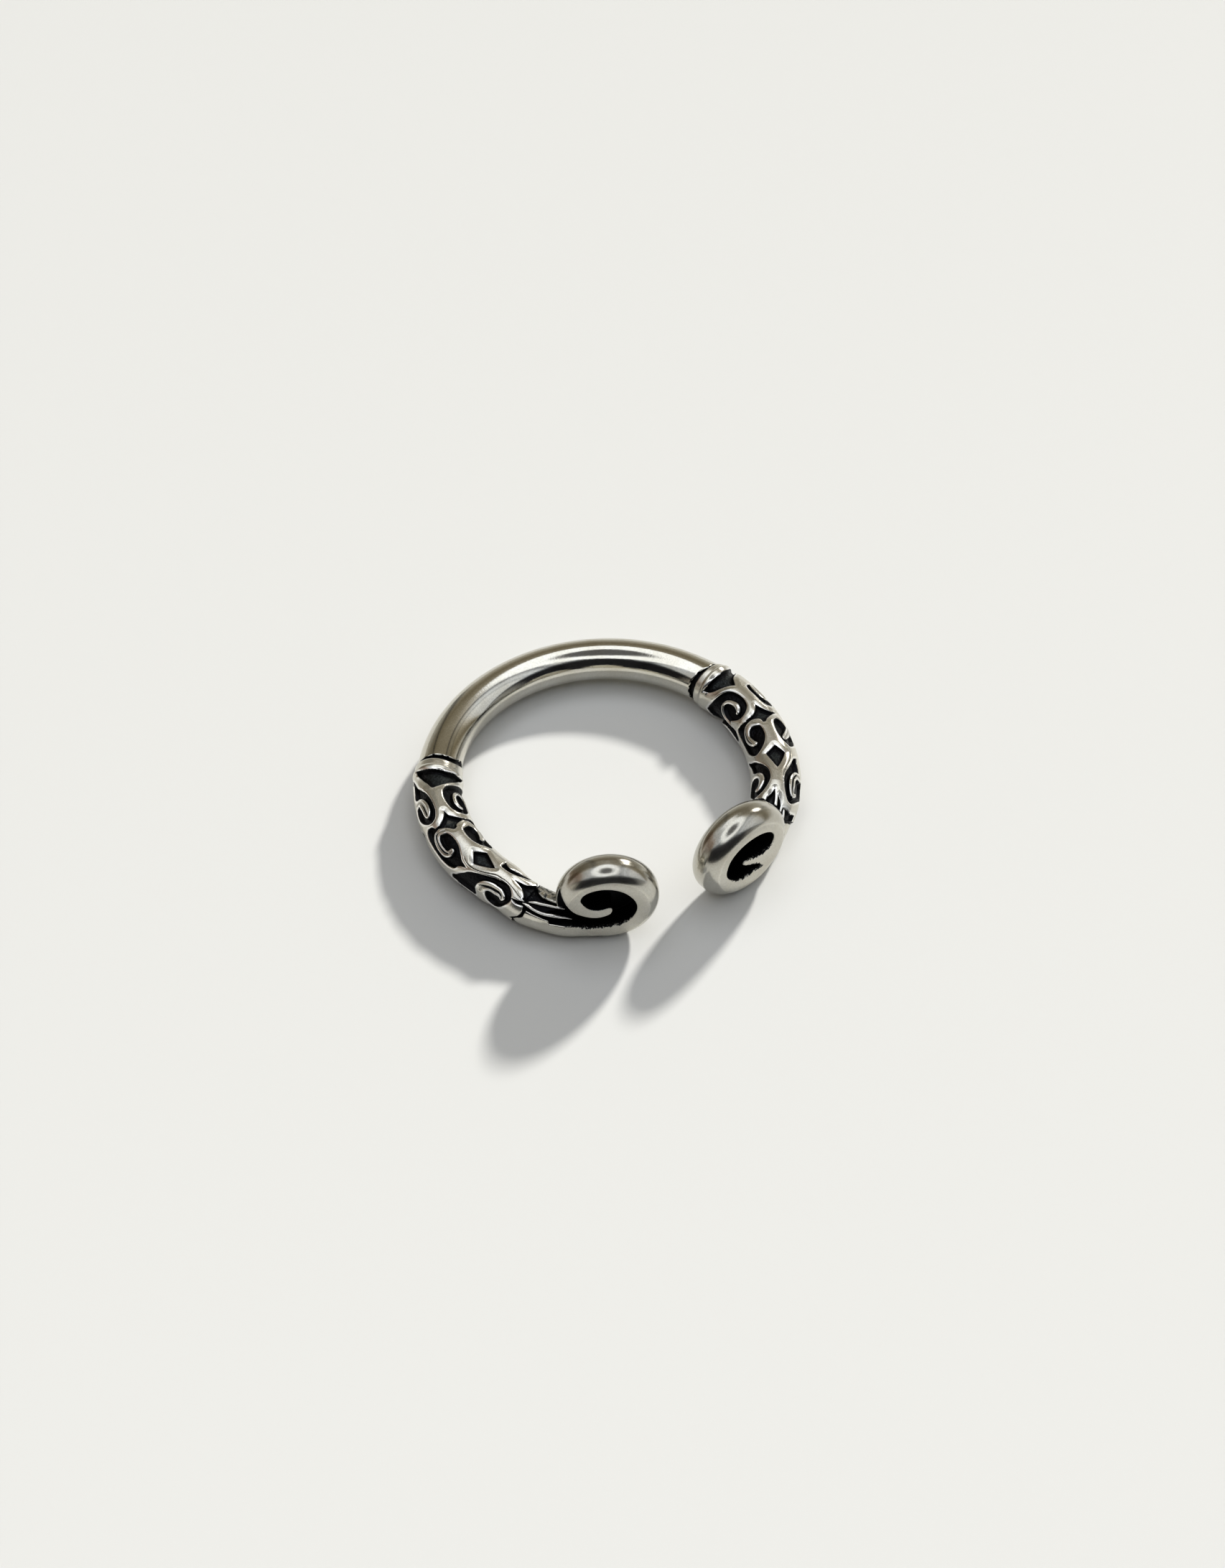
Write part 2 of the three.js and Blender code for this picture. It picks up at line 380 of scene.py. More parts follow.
# The openings round the volutes, numbered from the collar towards the scroll end.
FINGER_1 = cornered(
    [(120, 111.5), (100, 110.3), (90, 109.5), (81, 109), (70, 108.2), (56, 107.3), (46, 106.6), (38, 106),
     (29, 105.1), (21.5, 103.9), (17.5, 102.5), (15.3, 100.8), (15, 99), (16, 97), (18.5, 95.1),
     (23, 93.8), (31, 92.7), (40, 92.1), (50, 92.1), (60, 92.9), (69, 94.2), (77, 95.8)],
    [(84, 94.2)],
    [(82, 92.4), (84, 90.6), (88, 88.9), (94, 87.3)],
    [(102, 88.6), (110, 91), (120, 96)],
)
FINGER_2 = cornered(
    [(36, 89), (44, 89.3), (54, 89.6), (64, 89.9), (73, 89.7), (78, 88.8), (80, 86.5), (80.8, 84),
     (80.8, 82), (79.5, 80), (77.5, 78), (73.5, 76), (64, 74), (57, 72.9)],
    [(48, 72.4), (41, 72.9), (31, 74.3), (24, 75.8), (19, 77.3), (16, 79), (14.8, 81),
     (15.5, 83), (18.5, 84.4), (25, 85.2), (33, 85.3)],
)
CURL_3 = [(52, 69), (46, 68), (39, 67), (33, 66), (28, 65), (23.5, 64), (19.5, 62.5), (17, 61), (16, 59.5),
          (17, 58), (21.5, 56), (25, 55), (31, 53.6), (41, 52.4), (52, 51.7), (62, 51.9), (71, 53),
          (79, 54), (85, 55), (90, 56.5), (95, 59)]
FINGER_3 = {
    -1: cornered(
        [(37, 63.3), (24, 63), (16, 62.9), (13.3, 61.5), (13.8, 60), (14, 58), (16.4, 57), (20, 55.8),
         (26.6, 54.5), (32.7, 53.3), (40.5, 52.6), (52, 52.2)],
        [(46, 53.4), (39, 54.4), (34, 55.6), (31, 57), (28, 58.2), (26, 59.5), (27, 60.8),
         (30, 61.9), (37, 63.3)],
    ),
    1: cornered(
        [(92, 74), (84.5, 73), (78, 72), (70, 71), (59.5, 70), *CURL_3],
        [(92, 60.8)],
        [(82, 61.6), (72, 62), (60, 61.8)],
        [(60, 64.2)],
        [(67.5, 65.2), (73, 68), (78, 70), (82.5, 71), (88, 72.3)],
    ),
}
OUTER_1 = {
    -1: cornered(
        [(104, 113.2), (84, 111.6), (74.5, 110.6), (62.5, 109), (47.4, 107.3), (36, 106.3), (28, 105.5),
         (22, 104.3), (18, 102.8), (15.3, 101), (14.6, 99), (15.2, 97), (17.6, 95.5), (22.5, 93.9),
         (28, 93), (36, 92.5), (44, 92.6), (51, 93.2), (58.3, 94.3), (64.6, 95.5), (69.7, 97), (71, 98.5),
         (69.5, 100), (64, 101.3), (57, 101.6)],
        [(52, 104)],
        [(58.5, 104.8), (66.5, 107), (72.5, 109), (84, 110.6), (104, 112.6)],
    ),
    1: cornered(
        [(27, 103), (22, 102.6), (17.5, 101.3), (15.5, 99.5), (16, 97), (19, 94.8), (25, 93), (33, 92.3),
         (44, 92.4), (54, 93.5), (62, 95), (68, 97), (70, 99), (66, 101), (55, 102.3), (40, 103.2),
         (27, 103)],
    ),
}
# A shallow opening low on the left sleeve's outer flank.
FLANK = cornered(
    [(82, 93), (86, 94.5), (97, 95.8), (110, 96.5)],
    [(110, 89)],
    [(100, 89.5), (92, 90.3), (84, 91.8), (82, 93)],
)
OUTER_2 = {
    -1: cornered(
        [(36, 89.3), (40, 90.3), (44, 91.2), (56, 91.8), (66, 91), (71, 89.5), (73.3, 87), (75, 84),
         (75.5, 81), (73.2, 78.5), (68, 76.7), (62, 75.5), (52, 74.6), (46, 73.3), (42, 72)],
        [(39, 73.3), (36, 74.6), (30, 75.8), (25, 76.9), (21, 77.8), (16.4, 79.5), (14.7, 81.3),
         (14.9, 83), (18, 84.8), (23, 85.8), (29, 86.2)],
    ),
    1: cornered(
        [(22, 85.5), (30, 86.2), (37, 86.2), (47, 85.3), (54, 83.9)],
        [(77, 82.5)],
        [(77, 79.5)],
        [(67, 77.5), (57, 75.7), (42, 74.3), (33, 74.8), (25, 76), (18, 78), (15, 80),
         (14.8, 82), (17, 84), (22, 85.5)],
    ),
}
OUTER_3 = {
    -1: cornered(
        [(97, 76.5), (84, 76), (75, 74.5), (65, 73.3), (55, 71.8), (48, 71), (42, 69.8), (37, 68.3),
         (33, 67), (27.5, 64.7), (22.2, 62.5), (18.9, 60.5), (17.3, 58.8), (19.1, 57), (24, 55.7),
         (32, 54.7), (40, 54.2), (50, 54), (60, 54.5), (70, 55.4), (79, 56.3), (87, 57.2), (93, 58.3),
         (96, 59.7)],
        [(94, 61), (88, 62.1), (78, 62.8), (68, 63.2), (60, 63)],
        [(58, 66.4)],
        [(70, 66.8), (80, 66.5), (90, 66.3), (98, 67)],
        [(98, 72), (97, 76.5)],
    ),
    1: cornered(
        [(57, 70.3), (47, 69.5), (42, 68.5), (37.5, 67.3), (33, 66), (29, 65), (25.5, 64), (22, 63),
         (19, 62), (17, 60.5), (16.5, 59), (17.3, 58), (20.5, 56), (27, 53.8), (37, 52.1), (46, 51.8),
         (53, 52.3), (63, 53.6), (73, 55), (88, 57), (95, 58.5), (98, 60.5), (97, 62.5), (85, 63.3),
         (76, 63), (62, 62.5)],
        [(60, 66), (56.5, 67.5), (57, 70.3)],
    ),
}
# The openings between the prongs where the sleeve ends.
FORK = {
    ("finger", -1): (
        cornered([(-4, 55), (0, 55.2), (3, 56.2)],
                 [(4, 55), (5.5, 54), (8, 52.5), (11, 51.5), (16, 50.7), (21, 49.9), (26, 49.2),
                  (27, 46)],
                 [(-4, 46)]),
    ),
    ("finger", 1): (
        cornered([(2, 54.6), (6, 53.2), (12, 51.8), (18, 50.7), (21, 46)],
                 [(-8, 46)],
                 [(-6, 49.5), (-3, 52), (2, 54.6)]),
    ),
    ("outer", -1): (
        cornered([(-4, 55.6), (0, 55.1), (4.2, 53.6), (8.6, 52.4), (14.8, 51.6), (21, 51.1), (28, 50.7),
                  (36, 50.4), (40, 46)],
                 [(-4, 46)]),
    ),
    ("outer", 1): (
        cornered([(-2, 54.6), (3, 52), (6, 49.5), (8, 46)],
                 [(-21, 46)],
                 [(-18, 50.7), (-12, 51.8), (-6, 53.2), (-2, 54.6)]),
        cornered([(9.5, 52.6), (15, 51.5), (21, 50.1), (25, 48.3), (26, 43)],
                 [(14.5, 43)],
                 [(14.5, 48.4), (12.5, 50), (9.5, 52.6)]),
        cornered([(31, 48.9), (45, 49.3), (60, 49.2), (72, 50), (88, 51.3)],
                 [(88, 49)],
                 [(60, 43)],
                 [(30, 43)]),
    ),
}

# Ribs left standing in the recesses: degrees round, degrees along, half width in millimetres.
FINGER_RIBS = (
    [(79, 91, 0.11), (81, 93, 0.11), (84, 95, 0.11), (85.5, 97, 0.11), (85, 98.6, 0.11), (81.5, 100, 0.11),
     (75, 101.4, 0.11), (66, 102.4, 0.11), (57, 102.7, 0.11), (49, 102.1, 0.12), (43.5, 101, 0.12),
     (40.5, 99.4, 0.13), (39.7, 98, 0.15), (40.5, 96.5, 0.15), (44, 95.4, 0.14), (48, 95, 0.12)],
    [(18, 86, 0.27), (30, 86.7, 0.27), (42, 86.6, 0.25), (52, 85.6, 0.24), (58, 84, 0.23),
     (60, 82.2, 0.22), (56.5, 80.2, 0.22), (50, 78.3, 0.19), (44, 77.6, 0.13)],
    [(72, 62.9, 0.2), (61, 62.8, 0.21), (51, 62.2, 0.2), (43.5, 61.1, 0.2), (39.5, 59.6, 0.2),
     (39, 58, 0.2), (41, 56.5, 0.18), (46, 55.3, 0.16), (52, 54.8, 0.12)],
)
RIB_1 = [(60, 102.7, 0.22), (50, 102.6, 0.22), (43, 101.8, 0.26), (39.5, 100.3, 0.3), (38, 98.7, 0.3),
         (38.5, 97.2, 0.27), (40, 96.2, 0.2)]
RIB_2 = [(22, 86.9, 0.2), (32, 87.5, 0.2), (42, 87.5, 0.21), (50, 86.6, 0.22), (55, 85, 0.23),
         (56.5, 83, 0.23), (55, 81.2, 0.21), (50, 80, 0.18), (43, 79.5, 0.16), (37, 79.5, 0.14)]
OUTER_RIBS = {
    -1: (
        RIB_1,
        RIB_2,
        [(66, 64.8, 0.3), (57, 64.4, 0.3), (49, 63.2, 0.3), (46, 61.5, 0.3), (46, 59.8, 0.3),
         (48.5, 58.3, 0.27), (54, 57.2, 0.2), (60, 57.1, 0.13)],
    ),
    1: (
        RIB_1,
        [(31, 77.6, 0.16), (42, 79.3, 0.2), (52, 81, 0.2), (60, 82.4, 0.2), (65, 83.2, 0.2)],
        [(65.5, 63.3, 0.25), (55.5, 63.2, 0.22), (46.5, 62.3, 0.22), (41, 60.8, 0.22), (39.5, 59, 0.23),
         (40.5, 57, 0.2), (44, 55.4, 0.17), (49.5, 54.9, 0.13), (55.5, 55.5, 0.1)],
    ),
}

# Thin engraved lines on the ribs and beside them, in the same terms.
FINGER_LINES = (
    [(50, 86.9, 0.03), (57, 85.8, 0.05), (60, 84, 0.06), (60.5, 82, 0.06), (58, 80.3, 0.05),
     (53, 78.6, 0.03)],
)
OUTER_LINES = {
    -1: (
        [(40.5, 95.7, 0.02), (40.5, 97.5, 0.05), (40.5, 99.5, 0.04), (42, 100.8, 0.02)],
        [(40, 88, 0.02), (48, 87.3, 0.05), (52.5, 85.5, 0.07), (54.5, 83.5, 0.08), (53, 81.5, 0.07),
         (49, 80.2, 0.04)],
        [(56, 65.4, 0.03), (52, 63.5, 0.07), (48.7, 61.7, 0.09), (47.5, 59.5, 0.09), (50.5, 58, 0.06),
         (55, 57.5, 0.03)],
        [(25, 75, 0.02), (32, 72.5, 0.035), (32, 70, 0.04), (27, 67, 0.035), (20, 64.5, 0.03),
         (13, 62, 0.03), (12.5, 59.5, 0.03), (17, 56.5, 0.03), (25, 53.5, 0.03), (33, 51.5, 0.02)],
    ),
    1: (
        [(52, 63.3, 0.03), (44.5, 61.8, 0.05), (41, 60, 0.06), (41.5, 57.8, 0.05), (46, 55.8, 0.03)],
        [(30, 73.5, 0.02), (38, 71.5, 0.03), (35, 69, 0.035), (28, 66.5, 0.03), (19, 63.5, 0.03),
         (14, 61, 0.03), (15, 58, 0.03), (22, 54.5, 0.02)],
    ),
}
# A valley at the end of the left sleeve, cut as a recess; its black is painted shade.
SHADED_VALLEYS = {("outer", -1): ([(45, 53.6, 0.05), (46, 52, 0.13), (44, 50, 0.16), (42, 48, 0.16)],)}


def half_ornament(half, side):
    """Outlines with a wide bright bevel, outlines with a narrow one, ribs and lines of a half."""
    wide = [LENS[half, side], STAR[half, side], DIAMOND, *FORK[half, side]]
    if half == "finger":
        ribs = FINGER_RIBS if side > 0 else FINGER_RIBS[:2]  # the left curl has none
        return wide, [FINGER_1, FINGER_2, FINGER_3[side]], ribs, FINGER_LINES
    narrow = [OUTER_1[side], OUTER_2[side], OUTER_3[side]]
    if side < 0:
        narrow.append(FLANK)
    return wide, narrow, OUTER_RIBS[side], OUTER_LINES[side]


def in_mm(points):
    """A chart's points in millimetres."""
    p = np.asarray(points, float)
    return np.stack([p[:, 0] * ROUND_MM, p[:, 1] * ALONG_MM], -1)


def stroke_path(stroke):
    """A stroke's smooth path in millimetres, and its half widths."""
    points = np.asarray(stroke, float)
    path = curve_through(np.column_stack([in_mm(points[:, :2]), points[:, 2]]), 10)
    return path[:, :2], path[:, 2]


CHART_STEP = (0.7, 0.1)  # degrees round and along
CHART_REACH = 0.4  # millimetres round a shape in which its distance matters
RIB_HOLLOW = (0.05, 0.62)  # where a rib's hollow ends, as shares of its half width
LINE_EDGE = (0.3, 1.1)  # and where a line does


class Chart:
    """One half of a sleeve's ornament as rasters over degrees round and along."""

    def __init__(self, half, side):
        low = (0.0, CHART_LOW)
        high = (CHART_SIDE + CHART_STEP[0], CHART_HIGH + CHART_STEP[1])
        grid = grid_points(low, high, CHART_STEP)
        self.query = in_mm(grid.reshape(-1, 2))
        wide_shapes, narrow_shapes, ribs, lines = half_ornament(half, side)
        wide = self.distance_into(wide_shapes)
        recess = np.maximum(wide, self.distance_into(narrow_shapes))
        hollow = np.zeros(len(self.query))
        engraved = np.zeros(len(self.query))
        # The valley's black is painted shade.
        for shaded_valley in SHADED_VALLEYS.get((half, side), ()):
            where, into, _ = self.close_to_stroke(shaded_valley)
            recess[where] = np.maximum(recess[where], into)
        for rib in ribs:
            where, into, off = self.close_to_stroke(rib)
            recess[where] = np.minimum(recess[where], -into)
            hollow[where] = np.maximum(hollow[where], 1 - smoothstep(*RIB_HOLLOW, off))
        for line in lines:
            where, _, off = self.close_to_stroke(line)
            engraved[where] = np.maximum(engraved[where], 1 - smoothstep(*LINE_EDGE, off))
        shape = grid.shape[:2]
        values = (recess, wide, hollow, engraved)
        self.rasters = [Raster(low, CHART_STEP, v.reshape(shape)) for v in values]

    def close_to(self, points):
        """Which of the chart's points are within reach of a shape."""
        low, high = points.min(0) - CHART_REACH, points.max(0) + CHART_REACH
        return ((self.query > low) & (self.query < high)).all(1)

    def close_to_stroke(self, stroke):
        """Which points are within reach of a stroke, with their distances to it."""
        path, half = stroke_path(stroke)
        where = self.close_to(path)
        return where, *stroke_distance(path, half, self.query[where])

    def distance_into(self, shapes):
        """Distance into the nearest shape, positive inside and at least -CHART_REACH."""
        best = np.full(len(self.query), -CHART_REACH)
        for shape in shapes:
            polygon = outline(*[in_mm(s) for s in shape])
            where = self.close_to(polygon)
            best[where] = np.maximum(best[where], inside_distance(polygon, self.query[where]))
        return best


# The crown of the ornament wanders a little round the bar: degrees along the ring and round it.
CROWN = {
    -1: [(51, 93), (54, 92), (57.5, 88), (60, 83.5), (64, 84), (74, 85), (85, 86.5), (93, 86), (100, 82),
         (105.5, 78), (107, 86.5), (109, 92.5), (113, 98)],
    1: [(51, 88), (58, 87.5), (64, 88), (70.7, 89.5), (74, 87.5), (85, 87), (92, 86.5), (98, 84.5),
        (105, 90), (108, 95), (111, 89), (113.5, 84)],
}

RECESS_DEPTH = 0.27
WALL_WIDTH = 0.09
WIDE_BEVEL = (0.07, 0.28)  # depth and width beside the lens, star, diamond and fork
NARROW_BEVEL = (0.035, 0.1)  # and beside the volutes
HOLLOW_DEPTH = {"finger": -0.02, "outer": 0.045}  # the finger half's ribs are raised instead
LINE_DEPTH = 0.07
GRAIN_DEPTH = 0.02  # of the rough ground in the recesses
BEVEL_ENDS = (111.6, 112.4)  # along the ring
CARVING_ENDS = (113.8, 114.0)
TURNED_IN = (0.13, 0.09)  # depth and length of the sleeve's end, which turns in at the seam

# Where its surface changes, in millimetres into a recess.
RIB_EDGE = (-0.01, 0.03)
BLACK_EDGE = (-0.012, 0.012)
GRAIN_EDGE = (0.08, 0.16)
SLATE_EDGE = (0.16, 0.26)
# Where edges beside the recesses are brightened: wear and a painted highlight.
WEAR_HIGHLIGHT_EDGE = (-0.17, -0.06)
END_EDGE = (0.02, 0.07)  # where the black of the terminal seam ends, in millimetres from it
END_RAGGED = {-1: 0.05, 1: 0.02}
COLLAR_EDGE = (SEAM_ANGLE - 0.35, SEAM_ANGLE - 0.1)  # along the ring
COLLAR_TEETH = 0.15

# Looks of the sleeve, as shares of full black and full satin.
SLATE = (0.42, 0.16)  # how much paler the wide openings' floors are, and how much that varies
HOLLOW_OXIDE = {"finger": 0, "outer": 0.3}
LINE_OXIDE = 0.85
SLEEVE_SATIN = 0.4
WORN_SATIN = 0.15  # so much less where wear has polished it

# Radius of the sleeve's plain shape at angles along the ring, from its end to inside the shank.
SLEEVE_TIP = {
    -1: [(51, 1.3), (82, 1.5)],
    1: [(46, 1.28), (50, 1.36), (54, 1.44), (58, 1.49), (82, 1.5)],
}
SLEEVE_PROFILE = [(96, 1.5), (112, 1.47), (113.2, 1.475), (113.7, 1.5), (114.3, 1.515), (114.9, 1.5),
                  (115.4, 1.455), (116, 1.43), (117.6, 1.43), (118.4, 1.425), (118.7, 1.405),
                  (118.9, 1.36), (118.99, 1.28), (119.1, 1.15), (119.4, 1.13), (124.1, 1.13),
                  (124.3, 0.9)]

# Rows along the sleeve, close together where it has edges.
SLEEVE_END = 50.8  # before the rows lean to the terminal seam
SLEEVE_ROWS = np.concatenate([
    [124.3, 124.1, 123, 121.5, 120.3],
    np.arange(119.6, 118.2, -0.1),
    np.arange(118.1, SLEEVE_MIDDLE, -0.225),
    np.arange(SLEEVE_MIDDLE, 51.0, -0.19),
    [50.93, 50.86, SLEEVE_END],
])
# Columns round it, closer where the ornament shows and sparser along the belly.
SLEEVE_COLUMNS = np.concatenate([np.arange(-60, 210, 1.1), np.arange(210.5, 299, 2.4)])
SLEEVE_CORE = 1.0  # radius at which its end closes, inside the scroll end's bar
LEANING = (114, 118)  # from here to there its rows come to lean along the groove at the shank
SLEEVE_NOISE = ((0.11, 3), (0.5, 5), (0.16, 9))  # sizes and seeds of its grain, slate and teeth

# Where the sleeve ends, in degrees along the ring at degrees round the bar.
TERMINAL_SEAM = {
    -1: [(-60, 53), (-20, 52.6), (-8, 53.2), (0, 52.2), (10, 50.6), (20, 49.9), (30, 49.6), (60, 49.7),
         (90, 49.2), (120, 48.8), (150, 50), (180, 51.5), (300, 53.5)],
    1: [(-60, 51), (-10, 49.5), (0, 48.8), (15, 47.6), (30, 46.4), (43, 45.6), (60, 47.2), (75, 48.3),
        (90, 49), (120, 50.2), (150, 51.5), (180, 52), (300, 51)],
}


def terminal_seam(round_angle, side):
    """Where the sleeve ends, in degrees along the ring."""
    return charted(TERMINAL_SEAM[side], (round_angle + 60) % 360 - 60)


# The groove between collar and shank: where it begins and how wide it is, in degrees along the
# ring at degrees round the bar.
SEAM_PLACE = {
    -1: [(0, 119.4), (30, 119.2), (60, 118.85), (90, 118.45), (110, 118.2), (130, 118.2), (145, 118.8),
         (160, 119.8), (175, 120.7), (190, 121.4), (210, 121.4), (270, 120.2)],
    1: [(0, 116.3), (45, 116.6), (90, 117.26), (110, 117.7), (125, 118), (140, 118.25), (160, 118.25),
        (180, 118.2), (225, 117.8), (270, 117.2), (315, 116.5)],
}
SEAM_WIDTH = {
    -1: [(0, 0.5), (45, 0.5), (58, 1.1), (75, 1.7), (90, 1.8), (110, 2.0), (130, 2.4), (160, 2.8),
         (190, 2.6), (270, 0.7)],
    1: [(0, 0.3), (85, 0.4), (95, 0.8), (110, 1.3), (125, 1.6), (140, 1.9), (155, 2.2), (180, 2.2),
        (270, 0.8)],
}


def seam_lean(round_angle, side):
    """How far the groove at the shank is from SEAM_ANGLE, in degrees along the ring."""
    return charted(SEAM_PLACE[side], round_angle, period=360) - SEAM_ANGLE


def seam_width(round_angle, side):
    """How wide that groove is, in degrees along the ring."""
    return charted(SEAM_WIDTH[side], round_angle, period=360)


def collar_skew(base, turn):
    """The left collar is turned a little askew, in degrees along the ring."""
    skew = (0.5 + 0.9 * np.sin(np.radians(98 - turn))) * smoothstep(107, 112, base)
    return skew * smoothstep(118.5, 115, base)


class Sleeve:
    """One sleeve: a tube whose radius and blackness are worked out on a grid of places, in rows
    along the ring and columns round the bar."""

    def __init__(self, side):
        self.side = side
        self.lay_out()
        self.read_charts()
        place = bar_surface(self.angle, self.turn, self.plain, side).reshape(-1, 3)
        self.grain, self.coarse, self.teeth = (
            lattice_noise(place, size, seed).reshape(self.turn.shape) for size, seed in SLEEVE_NOISE
        )

    def lay_out(self):
        """The rows lean to run along the seams at both ends."""
        base, turn = np.meshgrid(SLEEVE_ROWS, SLEEVE_COLUMNS, indexing="ij")
        past_middle = base > SLEEVE_MIDDLE
        end_at = terminal_seam(turn, self.side)
        reach = (SLEEVE_MIDDLE - end_at) / (SLEEVE_MIDDLE - SLEEVE_END)
        angle = np.where(past_middle, base, SLEEVE_MIDDLE - (SLEEVE_MIDDLE - base) * reach)
        skew = collar_skew(base, turn) if self.side < 0 else 0.0
        self.chart_angle = np.where(past_middle, base - skew, angle)
        self.base, self.turn = base, turn
        self.angle = angle + seam_lean(turn, self.side) * smoothstep(*LEANING, base)
        self.to_end = (self.angle - end_at) * ALONG_MM
        self.plain = charted(SLEEVE_TIP[self.side] + SLEEVE_PROFILE, self.chart_angle)
        self.carved = 1 - smoothstep(*CARVING_ENDS, self.chart_angle)

    def read_charts(self):
        """How far inside a recess each place is, and what else the charts say there."""
        charts = (Chart(half, self.side) for half in ("finger", "outer"))
        along = self.chart_angle
        off = (self.turn - charted(CROWN[self.side], along) + 180) % 360 - 180
        self.finger = off > 0
        off = np.abs(off)
        a = np.where(off < CHART_SIDE, off, (180 - off) * CHART_SIDE / (180 - CHART_SIDE))
        self.into, self.into_wide, self.hollow, self.lines = (
            np.where(self.finger, by_finger(a, along), by_outer(a, along))
            for by_finger, by_outer in zip(*(chart.rasters for chart in charts))
        )
        self.on_rib = 1 - smoothstep(*RIB_EDGE, self.into)

    def by_half(self, values):
        """The value for the half of the sleeve that each place is on."""
        return np.where(self.finger, values["finger"], values["outer"])

    def carving(self):
        """How deep the ornament is cut."""
        depth, width = WIDE_BEVEL
        wide = depth * np.clip(1 + self.into_wide / width, 0, 1)
        wide = wide * (1 - smoothstep(*BEVEL_ENDS, self.chart_angle))
        depth, width = NARROW_BEVEL
        bevel = np.maximum(wide, depth * (1 - smoothstep(0, width, -self.into)))
        return self.carved * (
            bevel
            + (RECESS_DEPTH - bevel) * smoothstep(0, WALL_WIDTH, self.into)
            + GRAIN_DEPTH * self.grain * smoothstep(*GRAIN_EDGE, self.into)
            + self.by_half(HOLLOW_DEPTH) * self.hollow * self.on_rib
            + LINE_DEPTH * self.lines * self.on_rib
        )

    def radius(self):
        """The carved bar, which turns in at the terminal seam and closes in the bar beyond."""
        depth, length = TURNED_IN
        turned_in = depth * (1 - smoothstep(0, length, self.to_end)) ** 2
        return np.where(self.base == SLEEVE_END, SLEEVE_CORE, self.plain - self.carving() - turned_in)

    def oxide(self):
        """How black each place is."""
        slate = (SLATE[0] + SLATE[1] * self.coarse) * smoothstep(*SLATE_EDGE, self.into_wide)
        recess = self.carved * (
            smoothstep(*BLACK_EDGE, self.into) * (1 - slate)
            + self.on_rib * (self.by_half(HOLLOW_OXIDE) * self.hollow + LINE_OXIDE * self.lines)
        )
        # The groove at the shank, with the toothed edge of the collar beside it, and the other end.
        toothed = self.base + COLLAR_TEETH * self.teeth
        groove = smoothstep(*COLLAR_EDGE, toothed)
        ragged = self.to_end + END_RAGGED[self.side] * self.grain
        return np.maximum(np.maximum(recess, groove), 1 - smoothstep(*END_EDGE, ragged))

    def wear_and_highlight(self):
        """Edges beside the recesses, polished by wear and brightened as a painted highlight."""
        return self.carved * smoothstep(*WEAR_HIGHLIGHT_EDGE, self.into) * self.on_rib


def sleeve(side, material):
    """One carved sleeve."""
    made = Sleeve(side)
    points, faces = closed_tube(bar_surface(made.angle, made.turn, made.radius(), side))
    # Bright edges: partly wear, partly a painted highlight.
    wear_and_highlight = made.wear_and_highlight()
    # Each list ends with the two points that close the tube.
    values = {
        "oxide": np.append(made.oxide(), [1, 1]),
        "satin": np.append(SLEEVE_SATIN - WORN_SATIN * wear_and_highlight, [SLEEVE_SATIN] * 2),
        "wear_and_highlight": np.append(wear_and_highlight, [0, 0]),
    }
    name = "sleeve_left" if side < 0 else "sleeve_right"
    add_piece(name, points, faces, values, material)


# ---------- shank


SHANK_ROWS = 190  # from each end to the middle
SHANK_COLUMNS = 120
SHANK_TENON = (0.12, 1.1)  # how far its ends go in below the grooves, in degrees, and their radius
SHANK_EDGE = (0.06, 0.07)  # depth and length of its rounded ends
SHANK_TEETH = 0.07  # of the black at its ends
SHANK_SATIN = 0.04


def shank(material):
    """The plain bar at the back, whose rows lean to run along both grooves."""
    turn = np.arange(SHANK_COLUMNS) * 360 / SHANK_COLUMNS
    left, right = (SEAM_ANGLE + seam_lean(turn, s) + seam_width(turn, s) for s in (-1, 1))
    left = 360 - left
    middle = np.full(SHANK_COLUMNS, 180.0)
    share = np.linspace(0, 1, SHANK_ROWS)[:, None]
    angle = np.vstack([lerp(right, middle, share[:-1]), lerp(middle, left, share)])
    edge = np.minimum(angle - right, left - angle) * ALONG_MM
    to_seam = np.abs(angle - 180) / (180 - SEAM_ANGLE)
    bulk = lerp(SHANK_RADIUS, SHANK_END_RADIUS, to_seam**2)
    depth, length = SHANK_EDGE
    radius = bulk - depth * (1 - smoothstep(0, length, edge))
    deeper, tenon = SHANK_TENON
    rows = [
        bar_surface(right + deeper, turn, tenon + 0 * turn, 1)[None],
        bar_surface(angle, np.broadcast_to(turn, angle.shape), radius, 1),
        bar_surface(left - deeper, turn, tenon + 0 * turn, 1)[None],
    ]
    points, faces = closed_tube(np.concatenate(rows))
    none = np.zeros(SHANK_COLUMNS)
    near = np.concatenate([none, edge.ravel(), none])
    teeth = SHANK_TEETH * lattice_noise(points[:-2], 0.15, 11)
    oxide = np.append(1 - smoothstep(0.015, 0.05, near + teeth), [1, 1])
    values = {"oxide": oxide, "satin": SHANK_SATIN + 0 * oxide}
    add_piece("shank", points, faces, values, material)


# ---------- scroll ends

